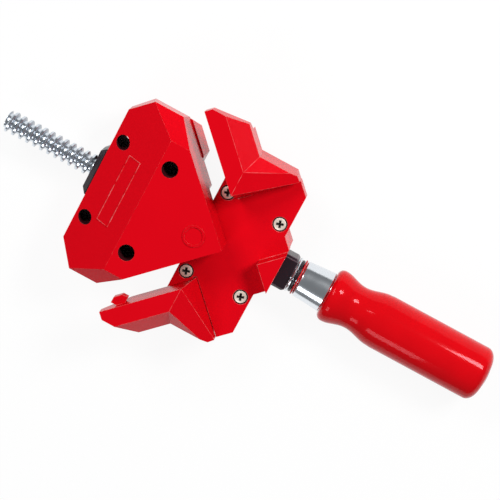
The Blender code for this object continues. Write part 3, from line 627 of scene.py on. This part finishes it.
        # the rounding takes the second of two material places, which mark_edges then reads
        piece.data.materials.clear()
        piece.data.materials.append(None)
        piece.data.materials.append(None)
        rounding = piece.modifiers.new("rounding", "BEVEL")
        rounding.material = 1
        rounding.width = width
        rounding.segments = cls.rounding_steps
        rounding.limit_method = "ANGLE"
        rounding.angle_limit = math.radians(cls.rounded_above_deg)
        rounding.use_clamp_overlap = True
        rounding.miter_outer = "MITER_ARC"
        cls.apply(piece, rounding)
        cls.tidy(piece, cls.smooth_below_deg)
        cls.mark_edges(piece)
        cls.flatten_shading(piece)
        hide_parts(node)
        return piece

    @staticmethod
    def mark_edges(piece: Piece) -> None:
        """Turn the second material index, which the rounding left, into an attribute for the finishes."""
        marks = piece.data.attributes.new(EDGE_ATTRIBUTE, "FLOAT", "FACE")
        for face in piece.data.polygons:
            marks.data[face.index].value = float(face.material_index)
            face.material_index = 0

    @staticmethod
    def mark_painted_shade(piece: Piece, test: FaceTest) -> None:
        """Mark the faces of a piece that a test picks for painted recess shade.

        Args:
            piece: The piece to mark.
            test: Says of a face whether it lies in a recess.
        """
        marks = piece.data.attributes.new(SHADED_RECESS_ATTRIBUTE, "FLOAT", "FACE")
        for face in piece.data.polygons:
            marks.data[face.index].value = 1.0 if test(face) else 0.0

    @classmethod
    def flatten_shading(cls, piece: Piece) -> None:
        """Let the large faces set the shading at their rims, so that they look flat up to the rounding."""
        weights = piece.modifiers.new("weights", "WEIGHTED_NORMAL")
        weights.mode = "FACE_AREA"
        weights.weight = 100
        weights.keep_sharp = True
        cls.apply(piece, weights)


def dress(piece: Piece, finish: Finish, body: Body) -> None:
    """Give a new piece its finish and body, and report it.

    Args:
        piece: The finished piece.
        finish: Its finish.
        body: The body that it rides on.
    """
    piece.data.materials.clear()
    piece.data.materials.append(Paints.get(finish))
    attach(piece, body.value)
    log.info("%s: %d faces, %s, rides on %s", piece.name, len(piece.data.polygons), finish.name, body.value)


def even_shares(steps: int) -> list[float]:
    """Give the shares 0 to 1 in equal steps.

    Args:
        steps: The number of steps.

    Returns:
        One share more than there are steps.
    """
    return [index / steps for index in range(steps + 1)]


# Sub-assemblies


@dataclass
class PanScrew:
    """A pan-head screw with a cross recess."""

    node: str
    head_up: bool
    cross_width: float = 0.0018
    cross_length: float = 0.0056
    cross_depth: float = 0.0020
    cross_turn: float = 0.35
    cross_taper: float = 0.42
    sides: int = 48
    dome: float = 0.0006
    head_thickness: float = 0.0026
    shank_radius: float = 0.0020
    tip_length: float = 0.0008
    tip_share: float = 0.6

    def build(self) -> Piece:
        """Model the head and shank at the node's place.

        Returns:
            The screw.
        """
        low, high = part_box(self.node)
        centre_x = (low.x + high.x) / 2.0
        centre_y = (low.y + high.y) / 2.0
        radius = (high.x - low.x) / 2.0
        thickness = self.head_thickness
        top = high.z if self.head_up else low.z
        away = 1.0 if self.head_up else -1.0
        seat = top - away * thickness
        middle = (top + seat) / 2.0
        pivot = (centre_x, centre_y, middle)
        screw = Bench.cylinder(self.node + "_dressed", pivot, radius, thickness, Axis.Z, self.sides)
        Bench.select_faces(screw, lambda face: face.normal.z * away > 0.9)
        bpy.ops.transform.translate(value=(0.0, 0.0, -away * self.dome))
        for drop, share in ((0.45, 0.93), (0.30, 0.78), (0.17, 0.52)):
            bpy.ops.mesh.inset(thickness=radius * 0.06)
            bpy.ops.transform.resize(value=(share, share, 1.0), center_override=pivot)
            bpy.ops.transform.translate(value=(0.0, 0.0, away * self.dome * drop))
        Bench.select_faces(screw, lambda face: face.normal.z * away < -0.9)
        bpy.ops.mesh.inset(thickness=radius - self.shank_radius)
        shank = (high.z - low.z) - thickness
        for length in (shank - self.tip_length, self.tip_length):
            bpy.ops.mesh.extrude_region_move(TRANSFORM_OT_translate={"value": (0.0, 0.0, -away * length)})
        bpy.ops.transform.resize(value=(self.tip_share, self.tip_share, 1.0), center_override=pivot)
        Bench.leave()
        Bench.tidy(screw, 30.0)
        for turn in (0.0, SQUARE_TURN):
            Bench.combine(screw, self.slot_cutter((centre_x, centre_y), top, away, turn), Fit.CUT)
        Bench.tidy(screw, 30.0)
        self.mark_painted_shade(screw, Vector((centre_x, centre_y, top)))
        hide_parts(self.node)
        return screw

    def mark_painted_shade(self, screw: Piece, crown: Vector) -> None:
        """Mark the cross's walls and floor and the head's rim for painted shade.

        Args:
            screw: The screw.
            crown: The middle of the head's outer face.
        """
        rim = max(math.hypot(point.co.x - crown.x, point.co.y - crown.y) for point in screw.data.vertices)

        def is_dark(face: bpy.types.MeshPolygon) -> bool:
            """Say whether a face lies in the cross or at the rim."""
            offset = face.center - crown
            reach = math.hypot(offset.x, offset.y)
            near = reach < self.cross_length / 2.0 and abs(offset.z) < self.cross_depth * 1.05
            in_cross = near and (abs(face.normal.z) < 0.85 or abs(offset.z) > self.cross_depth * 0.7)
            return in_cross or reach > rim * 0.93

        Bench.mark_painted_shade(screw, is_dark)

    def slot_cutter(self, centre: PlanPlace, top: float, away: float, turn: float) -> Piece:
        """Model one tapered bar of the cross.

        Args:
            centre: The screw's place in plan.
            top: The head's outer level.
            away: 1 if the head points up, -1 if down.
            turn: The bar's angle in plan, added to the cross's own turn.

        Returns:
            The cutter.
        """
        Bench.deselect()
        height = self.cross_depth + 0.001
        level = top - away * (self.cross_depth - height / 2.0)
        bpy.ops.mesh.primitive_cube_add(size=1.0, location=(*centre, level),
                                        rotation=(0.0, 0.0, turn + self.cross_turn))
        bar = bpy.context.active_object
        bar.name = "cross_bar"
        bar.scale = (self.cross_length, self.cross_width, height)
        Bench.settle(bar)
        Bench.select_faces(bar, lambda face: face.normal.z * away < -0.9)
        taper = (self.cross_taper, self.cross_taper, 1.0)
        bpy.ops.transform.resize(value=taper, center_override=(*centre, top))
        Bench.leave()
        return bar


@dataclass
class ClampFrame:
    """The fixed frame: casting, cover and cover screws."""

    edge: float = 0.00045
    cover_edge: float = 0.0003
    screws: list[str] = field(default_factory=lambda: [f"cover_screw_{n}" for n in range(1, 5)])

    def build(self) -> None:
        """Model and dress the frame's pieces."""
        casting = Bench.softened("frame_casting", "frame_casting_dressed", self.edge)
        dress(casting, RED_ENAMEL, Body.FRAME)
        cover = Bench.softened("cover_plate", "cover_plate_dressed", self.cover_edge)
        dress(cover, RED_ENAMEL, Body.FRAME)
        for node in self.screws:
            dress(PanScrew(node, True).build(), DULL_NICKEL, Body.FRAME)


@dataclass
class BearingBlock:
    """The black block that swings in the frame."""

    edge: float = 0.0005

    def build(self) -> None:
        """Model and dress the block."""
        block = Bench.softened("bearing_block", "bearing_block_dressed", self.edge)
        dress(block, BLACK_OXIDE, Body.BEARING)


@dataclass
class ThreadedSpindle:
    """The screw: a trapezoidal thread, a journal and a tang."""

    pitch: float = 0.0045
    depth: float = 0.0020
    crest_share: float = 0.30
    root_share: float = 0.34
    round_off: float = 0.00028
    sides: int = 40
    lead_in: float = 0.0016
    journal_radius: float = 0.0050
    journal_reach: float = 0.0063
    tang_radius: float = 0.0040

    def build(self) -> None:
        """Model and dress the screw."""
        low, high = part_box("spindle")
        crest = (high.z - low.z) / 2.0
        thread_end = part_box("shoulder_washer")[0].x - 0.0003
        journal_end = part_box("ferrule")[0].x + self.journal_reach
        piece = self.thread(low.x, thread_end, crest)
        envelope = Bench.turned("envelope", [
            (low.x, crest - self.lead_in),
            (low.x + self.lead_in, crest + 0.00005),
            (thread_end, crest + 0.00005),
        ], 64)
        Bench.combine(piece, envelope, Fit.KEEP_WITHIN)
        journal = Bench.turned("journal", [
            (thread_end - 0.004, self.tang_radius),
            (thread_end + 0.0002, self.journal_radius),
            (journal_end - 0.0001, self.journal_radius),
            (journal_end, self.tang_radius),
            (high.x, self.tang_radius),
        ], 48)
        Bench.combine(piece, journal, Fit.JOIN)
        piece.name = "spindle_dressed"
        Bench.tidy(piece, 32.0)
        # the flank towards the handle gets painted shade, a dark line along each groove
        Bench.mark_painted_shade(piece, lambda face: face.center.x < thread_end and face.normal.x > 0.45)
        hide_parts("spindle")
        dress(piece, BRIGHT_ZINC, Body.SCREW)

    def thread(self, start: float, end: float, crest: float) -> Piece:
        """Wind one pitch's outline round the axis for the whole length, and close both ends.

        Args:
            start: The thread's free end.
            end: Its other end.
            crest: The radius of its crests.

        Returns:
            The closed thread.
        """
        root = crest - self.depth
        flank = self.pitch * (1.0 - self.crest_share - self.root_share) / 2.0
        first = start - self.pitch * 2.0
        root_end = first + self.pitch * self.root_share
        crest_start = root_end + flank
        crest_end = crest_start + self.pitch * self.crest_share
        near, far, over = self.round_off * 0.4, self.round_off * 0.5, self.round_off * 0.6
        outline = [
            (first, root),
            (root_end - near, root),
            (root_end + near, root + near),
            (crest_start - far, crest - self.round_off),
            (crest_start + over, crest),
            (crest_end - over, crest),
            (crest_end + far, crest - self.round_off),
            (crest_end + flank - near, root + near),
            (first + self.pitch, root),
        ]
        mesh = bpy.data.meshes.new("thread")
        points = [(x, 0.0, AXIS_HEIGHT + radius) for x, radius in outline]
        mesh.from_pydata(points, [(i, i + 1) for i in range(len(points) - 1)], [])
        piece = add_object("thread", mesh)
        axis = add_object("thread_axis", None)
        axis.location = (0.0, 0.0, AXIS_HEIGHT)
        bpy.context.view_layer.update()
        winding = piece.modifiers.new("winding", "SCREW")
        winding.axis = "X"
        winding.object = axis
        winding.angle = -math.tau
        winding.screw_offset = self.pitch
        winding.iterations = int((end - start) / self.pitch) + 5
        winding.steps = self.sides
        winding.render_steps = self.sides
        winding.use_merge_vertices = True
        winding.merge_threshold = 1e-5
        Bench.apply(piece, winding)
        bpy.data.objects.remove(axis, do_unlink=True)
        Bench.take(piece)
        Bench.edit()
        for place, normal in ((start - 0.0005, -1.0), (end, 1.0)):
            bpy.ops.mesh.select_all(action="SELECT")
            bpy.ops.mesh.bisect(plane_co=(place, 0.0, AXIS_HEIGHT), plane_no=(normal, 0.0, 0.0),
                                use_fill=True, clear_outer=True)
        Bench.leave()
        Bench.tidy(piece, 32.0)
        return piece


@dataclass
class HandleGroup:
    """The rings, the ferrule and the turned handle."""

    sides: int = 96
    ring_nodes: dict[str, tuple[Finish, Slot]] = field(default_factory=lambda: {
        "shoulder_washer": (DULL_NICKEL, Slot.NICKEL),
        "thrust_washer": (POLISHED_CHROME, Slot.CHROME),
        "spacer_washer": (BLACK_OXIDE, Slot.BLACK),
        "fibre_ring": (RED_GASKET, Slot.RED_FIBRE),
    })
    bore_radius: float = 0.0053
    pin_hole_radius: float = 0.00155
    pin_setback: float = 0.0030
    pin_drop: float = 0.01
    flare: float = 0.0011
    waist_depth: float = 0.0029
    waist_length: float = 0.0286
    waist_lean: float = 0.92
    collar_length: float = 0.0044
    end_rounding: float = 0.0080
    end_crown: float = 0.0012
    tenon_radius: float = 0.0090
    tang_bore_radius: float = 0.0043

    def build(self) -> None:
        """Model and dress the washers, the ferrule, its pin and the handle."""
        for node, (finish, slot) in self.ring_nodes.items():
            dress(self.ring(node), finish, Body.SCREW)
        dress(self.ferrule(), POLISHED_CHROME, Body.SCREW)
        pin = Bench.softened("ferrule_pin", "ferrule_pin_dressed", 0.0002)
        dress(pin, DULL_NICKEL, Body.SCREW)
        dress(self.handle(), RED_GLAZE, Body.SCREW)

    def ring(self, node: str) -> Piece:
        """Model one washer with rounded rims at its node's place.

        Args:
            node: The washer's node.

        Returns:
            The washer.
        """
        low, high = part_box(node)
        radius = (high.z - low.z) / 2.0
        thickness = high.x - low.x
        edge = min(thickness * 0.35, 0.0004)
        ring = Bench.turned(node + "_dressed", [
            (low.x, radius - edge * 1.4),
            (low.x + edge * 0.35, radius - edge * 0.5),
            (low.x + edge, radius),
            (high.x - edge, radius),
            (high.x - edge * 0.35, radius - edge * 0.5),
            (high.x, radius - edge * 1.4),
        ], self.sides)
        middle = ((low.x + high.x) / 2.0, 0.0, AXIS_HEIGHT)
        bore = Bench.cylinder("bore", middle, self.bore_radius, thickness * 3.0, Axis.X, self.sides)
        Bench.combine(ring, bore, Fit.CUT)
        Bench.tidy(ring, 30.0)
        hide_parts(node)
        return ring

    def ferrule(self) -> Piece:
        """Model the flared cup with a rolled front edge.

        Returns:
            The ferrule.
        """
        low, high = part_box("ferrule")
        back = (high.z - low.z) / 2.0
        front = back - self.flare
        cup = Bench.turned("ferrule_dressed", [
            (low.x, front - 0.0014),
            (low.x + 0.00025, front - 0.0007),
            (low.x + 0.0007, front - 0.0002),
            (low.x + 0.0014, front),
            (low.x + 0.0030, front + 0.0001),
            (high.x - 0.0006, back),
            (high.x, back - 0.0003),
        ], self.sides)
        hollow = Bench.turned("hollow", [(low.x + 0.0060, front - 0.0014), (high.x + 0.0010, back - 0.0013)],
                              self.sides)
        Bench.combine(cup, hollow, Fit.CUT)
        bore = Bench.cylinder("bore", (low.x, 0.0, AXIS_HEIGHT), self.bore_radius, 0.020, Axis.X, 48)
        Bench.combine(cup, bore, Fit.CUT)
        pin_place = (low.x + self.pin_setback, 0.0, AXIS_HEIGHT - self.pin_drop)
        pin_hole = Bench.cylinder("pin_hole", pin_place, self.pin_hole_radius, 0.02, Axis.Z, 24)
        Bench.combine(cup, pin_hole, Fit.CUT)
        Bench.tidy(cup, 30.0)
        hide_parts("ferrule")
        return cup

    def handle(self) -> Piece:
        """Model the turned handle: collar, waist, barrel and domed end.

        Returns:
            The handle.
        """
        low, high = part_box("handle")
        barrel = (high.z - low.z) / 2.0
        ferrule_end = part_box("ferrule")[1].x
        start = ferrule_end + 0.0003
        collar = barrel - 0.0002
        sections: list[Section] = [(start, collar - 0.0030), (start + 0.0004, collar - 0.0019),
                                   (start + 0.0012, collar - 0.0009), (start + 0.0022, collar - 0.0003),
                                   (start + 0.0034, collar)]
        waist_start = start + self.collar_length
        waist_end = waist_start + self.waist_length
        for share in even_shares(28):
            dip = self.waist_depth * (0.5 - 0.5 * math.cos(math.tau * share ** self.waist_lean))
            sections.append((waist_start + (waist_end - waist_start) * share, collar - dip))
        sections.append((waist_end + 0.0016, barrel))
        depth = self.end_rounding * 0.75
        shoulder = high.x - depth - self.end_crown
        flat = barrel - self.end_rounding
        for share in even_shares(15):
            angle = SQUARE_TURN * share
            sections.append((shoulder + depth * math.sin(angle), flat + self.end_rounding * math.cos(angle)))
        for share, rise in ((0.75, 0.45), (0.5, 0.75), (0.25, 0.94), (0.06, 1.0)):
            sections.append((high.x - self.end_crown * (1.0 - rise), flat * share))
        grip = Bench.turned("handle_dressed", sections, self.sides)
        tenon = Bench.turned("tenon", [(low.x, self.tenon_radius), (start + 0.0010, self.tenon_radius)], 48)
        Bench.combine(grip, tenon, Fit.JOIN)
        tang_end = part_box("spindle")[1].x + 0.0003
        tang = Bench.turned("tang_bore", [(low.x - 0.001, self.tang_bore_radius),
                                          (tang_end, self.tang_bore_radius)], 32)
        Bench.combine(grip, tang, Fit.CUT)
        Bench.tidy(grip, 40.0)
        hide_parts("handle")
        return grip


@dataclass
class SwivelNut:
    """The black nut in the jaw's back."""

    edge: float = 0.0005

    def build(self) -> None:
        """Model and dress the nut."""
        nut = Bench.softened("swivel_nut", "swivel_nut_dressed", self.edge)
        dress(nut, BLACK_OXIDE, Body.NUT)


@dataclass
class Jaw:
    """The triangular jaw's two castings and their screws."""

    edge: float = 0.00045
    top_rise: float = 0.033
    slope_length: float = 0.030
    slope_drop: float = 0.020
    label_setback: float = 0.0133
    label_width: float = 0.0094
    label_length: float = 0.0408
    rim_width: float = 0.0003
    rest_draft: float = 0.0009
    rest_height: float = 0.0120
    back_bore: Place = (0.0060, 0.0239, 0.0042)
    front_bore: Place = (0.0460, 0.0265, 0.0047)
    screws: list[str] = field(default_factory=lambda: [f"jaw_screw_{n}" for n in range(1, 5)])

    def build(self) -> None:
        """Model and dress the jaw's pieces."""
        upper = Bench.softened("jaw_casting", "jaw_casting_dressed", self.edge)
        # the walls of the bench bores get painted shade
        bores = self.bore_test()
        Bench.mark_painted_shade(upper, bores)
        dress(upper, RED_ENAMEL, Body.JAW)
        lower = Bench.softened("jaw_base", "jaw_base_dressed", self.edge)
        Bench.mark_painted_shade(lower, bores)
        self.draft_rests(lower)
        dress(lower, RED_ENAMEL, Body.JAW)
        dress(self.label_rim(), RED_ENAMEL, Body.JAW)
        for node in self.screws:
            dress(PanScrew(node, False).build(), DULL_NICKEL, Body.JAW)

    def draft_rests(self, lower: Piece) -> None:
        """Draw the tops of the two board rests in towards the clamping faces, as the casting's draft does.

        Args:
            lower: The lower casting.
        """
        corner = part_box("jaw_casting")[1].x
        inward = -self.rest_draft * HALF_ROOT
        for side in (1.0, -1.0):
            Bench.take(lower)
            Bench.edit()
            bpy.ops.mesh.select_mode(type="VERT")
            bpy.ops.mesh.select_all(action="DESELECT")
            Bench.leave()
            for point in lower.data.vertices:
                beyond = (point.co.x + side * point.co.y - corner) * HALF_ROOT
                point.select = beyond > 0.0008 and point.co.z > self.rest_height
            Bench.edit()
            bpy.ops.transform.translate(value=(inward, side * inward, 0.0))
            Bench.leave()

    def bore_test(self) -> FaceTest:
        """Give a test that says whether a face belongs to the wall of one of the four bench bores.

        Returns:
            The test.
        """
        low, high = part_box("jaw_casting")
        (back, back_side, back_radius), (front, front_side, front_radius) = self.back_bore, self.front_bore
        places = ((low.x + back, back_side, back_radius), (high.x - front, front_side, front_radius))

        def in_bore(face: bpy.types.MeshPolygon) -> bool:
            """Say whether an upright face lies on a bore's wall."""
            upright = abs(face.normal.z) < 0.3
            return upright and any(math.hypot(face.center.x - x, abs(face.center.y) - y) < radius + 0.0002
                                   for x, y, radius in places)

        return in_bore

    def label_rim(self) -> Piece:
        """Model the low rim round the bare label field on the jaw's sloping back.

        Returns:
            The rim, which stands a little out of the casting's face.
        """
        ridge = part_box("jaw_casting")[0].x + self.slope_length
        centre = (ridge - self.label_setback, 0.0,
                  AXIS_HEIGHT + self.top_rise - self.label_setback * self.slope_drop / self.slope_length)
        rim = self.slab("label_rim", centre, self.label_width, self.label_length, 0.0006)
        inner = self.slab("label_field", centre, self.label_width - 2.0 * self.rim_width,
                          self.label_length - 2.0 * self.rim_width, 0.002)
        Bench.combine(rim, inner, Fit.CUT)
        Bench.tidy(rim, 30.0)
        # every face of the rim is marked for the painted edge highlight, so the rim shows as thin light lines
        marks = rim.data.attributes.new(EDGE_ATTRIBUTE, "FLOAT", "FACE")
        for face in rim.data.polygons:
            marks.data[face.index].value = 1.0
        return rim

    def slab(self, name: str, centre: Place, width: float, length: float, thickness: float) -> Piece:
        """Add a plain slab that lies on the sloping back.

        Args:
            name: The slab's name.
            centre: Its middle.
            width: Its size up the slope.
            length: Its size across the screw.
            thickness: Its thickness.

        Returns:
            The slab.
        """
        Bench.deselect()
        tilt = -math.atan2(self.slope_drop, self.slope_length)
        bpy.ops.mesh.primitive_cube_add(size=1.0, location=centre, rotation=(0.0, tilt, 0.0))
        slab = bpy.context.active_object
        slab.name = name
        slab.scale = (width, length, thickness)
        Bench.settle(slab)
        return slab


# Stage


@dataclass
class Studio:
    """The floor, the lamps, the world and the camera."""

    tilt_deg: float = 13.5
    turn_deg: float = 28.4
    distance: float = 1.2
    lens: float = 153.36
    target: Place = (-0.006524, 0.000340, AXIS_HEIGHT)

    def build(self) -> None:
        """Set up the whole stage."""
        self.floor()
        self.world()
        self.lamps()
        self.camera()
        bpy.context.scene.view_settings.view_transform = "Standard"

    def floor(self) -> None:
        """Lay a plain white floor, which shows white to the camera and in gloss and keeps a soft shadow."""
        Bench.deselect()
        bpy.ops.mesh.primitive_plane_add(size=6.0, location=(0.0, 0.0, 0.0))
        floor = bpy.context.active_object
        floor.name = "floor"
        Bench.settle(floor)
        material = bpy.data.materials.new("white_floor")
        material.use_nodes = True
        nodes, links = material.node_tree.nodes, material.node_tree.links
        shader = nodes["Principled BSDF"]
        shader.inputs["Base Color"].default_value = (0.90, 0.90, 0.90, 1.0)
        shader.inputs["Roughness"].default_value = 0.9
        shader.inputs["Specular IOR Level"].default_value = 0.0
        path = nodes.new("ShaderNodeLightPath")
        glow = nodes.new("ShaderNodeEmission")
        glow.inputs["Strength"].default_value = 1.0
        blend = nodes.new("ShaderNodeMixShader")
        share = nodes.new("ShaderNodeMath")
        share.operation = "MULTIPLY"
        share.inputs[1].default_value = 0.92
        seen = nodes.new("ShaderNodeMath")
        seen.operation = "MAXIMUM"
        links.new(path.outputs["Is Camera Ray"], seen.inputs[0])
        links.new(path.outputs["Is Glossy Ray"], seen.inputs[1])
        links.new(seen.outputs["Value"], share.inputs[0])
        links.new(share.outputs["Value"], blend.inputs[0])
        links.new(shader.outputs["BSDF"], blend.inputs[1])
        links.new(glow.outputs["Emission"], blend.inputs[2])
        links.new(blend.outputs["Shader"], nodes["Material Output"].inputs["Surface"])
        floor.data.materials.append(material)

    def world(self) -> None:
        """Fill the surroundings with an even pale light."""
        world = bpy.data.worlds.new("studio")
        bpy.context.scene.world = world
        world.use_nodes = True
        background = world.node_tree.nodes["Background"]
        background.inputs["Color"].default_value = (0.95, 0.97, 1.0, 1.0)
        background.inputs["Strength"].default_value = 0.20

    def lamp(self, name: str, place: Place, size: tuple[float, float], power: float, colour: Colour) -> None:
        """Hang one soft rectangular lamp that faces the clamp.

        Args:
            name: The lamp's name.
            place: Where it hangs.
            size: Its width and height.
            power: Its power in watts.
            colour: Its colour.
        """
        data = bpy.data.lights.new(name, "AREA")
        data.shape = "RECTANGLE"
        data.size, data.size_y = size
        data.energy = power
        data.color = colour
        lamp = add_object(name, data)
        lamp.location = place
        aim = Vector(self.target) - Vector(place)
        lamp.rotation_euler = aim.to_track_quat("-Z", "Y").to_euler()

    def lamps(self) -> None:
        """Hang the key lamp beyond the far arm, one lamp before the near arm and one behind the jaw."""
        self.lamp("key", (0.46, 0.86, 0.90), (0.40, 0.30), 13.4, (1.0, 0.99, 0.98))
        self.lamp("near", (-0.10, -1.05, 0.95), (0.60, 0.45), 4.5, (0.97, 0.97, 1.0))
        self.lamp("behind", (-0.85, 0.55, 0.95), (0.50, 0.50), 7.5, (1.0, 1.0, 1.0))

    def camera(self) -> None:
        """Place the camera at the photograph's angle."""
        tilt, turn = math.radians(self.tilt_deg), math.radians(self.turn_deg)
        towards = Vector((0.0, math.sin(tilt), math.cos(tilt)))
        along = Vector((1.0, 0.0, 0.0))
        across = Vector((0.0, math.cos(tilt), -math.sin(tilt)))
        right = math.cos(turn) * along + math.sin(turn) * across
        up = -math.sin(turn) * along + math.cos(turn) * across
        data = bpy.data.cameras.new("camera")
        data.lens = self.lens
        data.sensor_width = 36.0
        camera = add_object("camera", data)
        turned = Matrix((right, up, towards)).transposed().to_4x4()
        camera.matrix_world = Matrix.Translation(Vector(self.target) + towards * self.distance) @ turned
        bpy.context.scene.camera = camera


def main() -> None:
    """Build the sub-assemblies in order, then the stage."""
    logging.basicConfig(level=logging.INFO, format="%(name)s: %(message)s")
    for assembly in (ClampFrame(), BearingBlock(), ThreadedSpindle(), HandleGroup(), SwivelNut(), Jaw()):
        assembly.build()
    Studio().build()


if __name__ == "__main__":
    main()
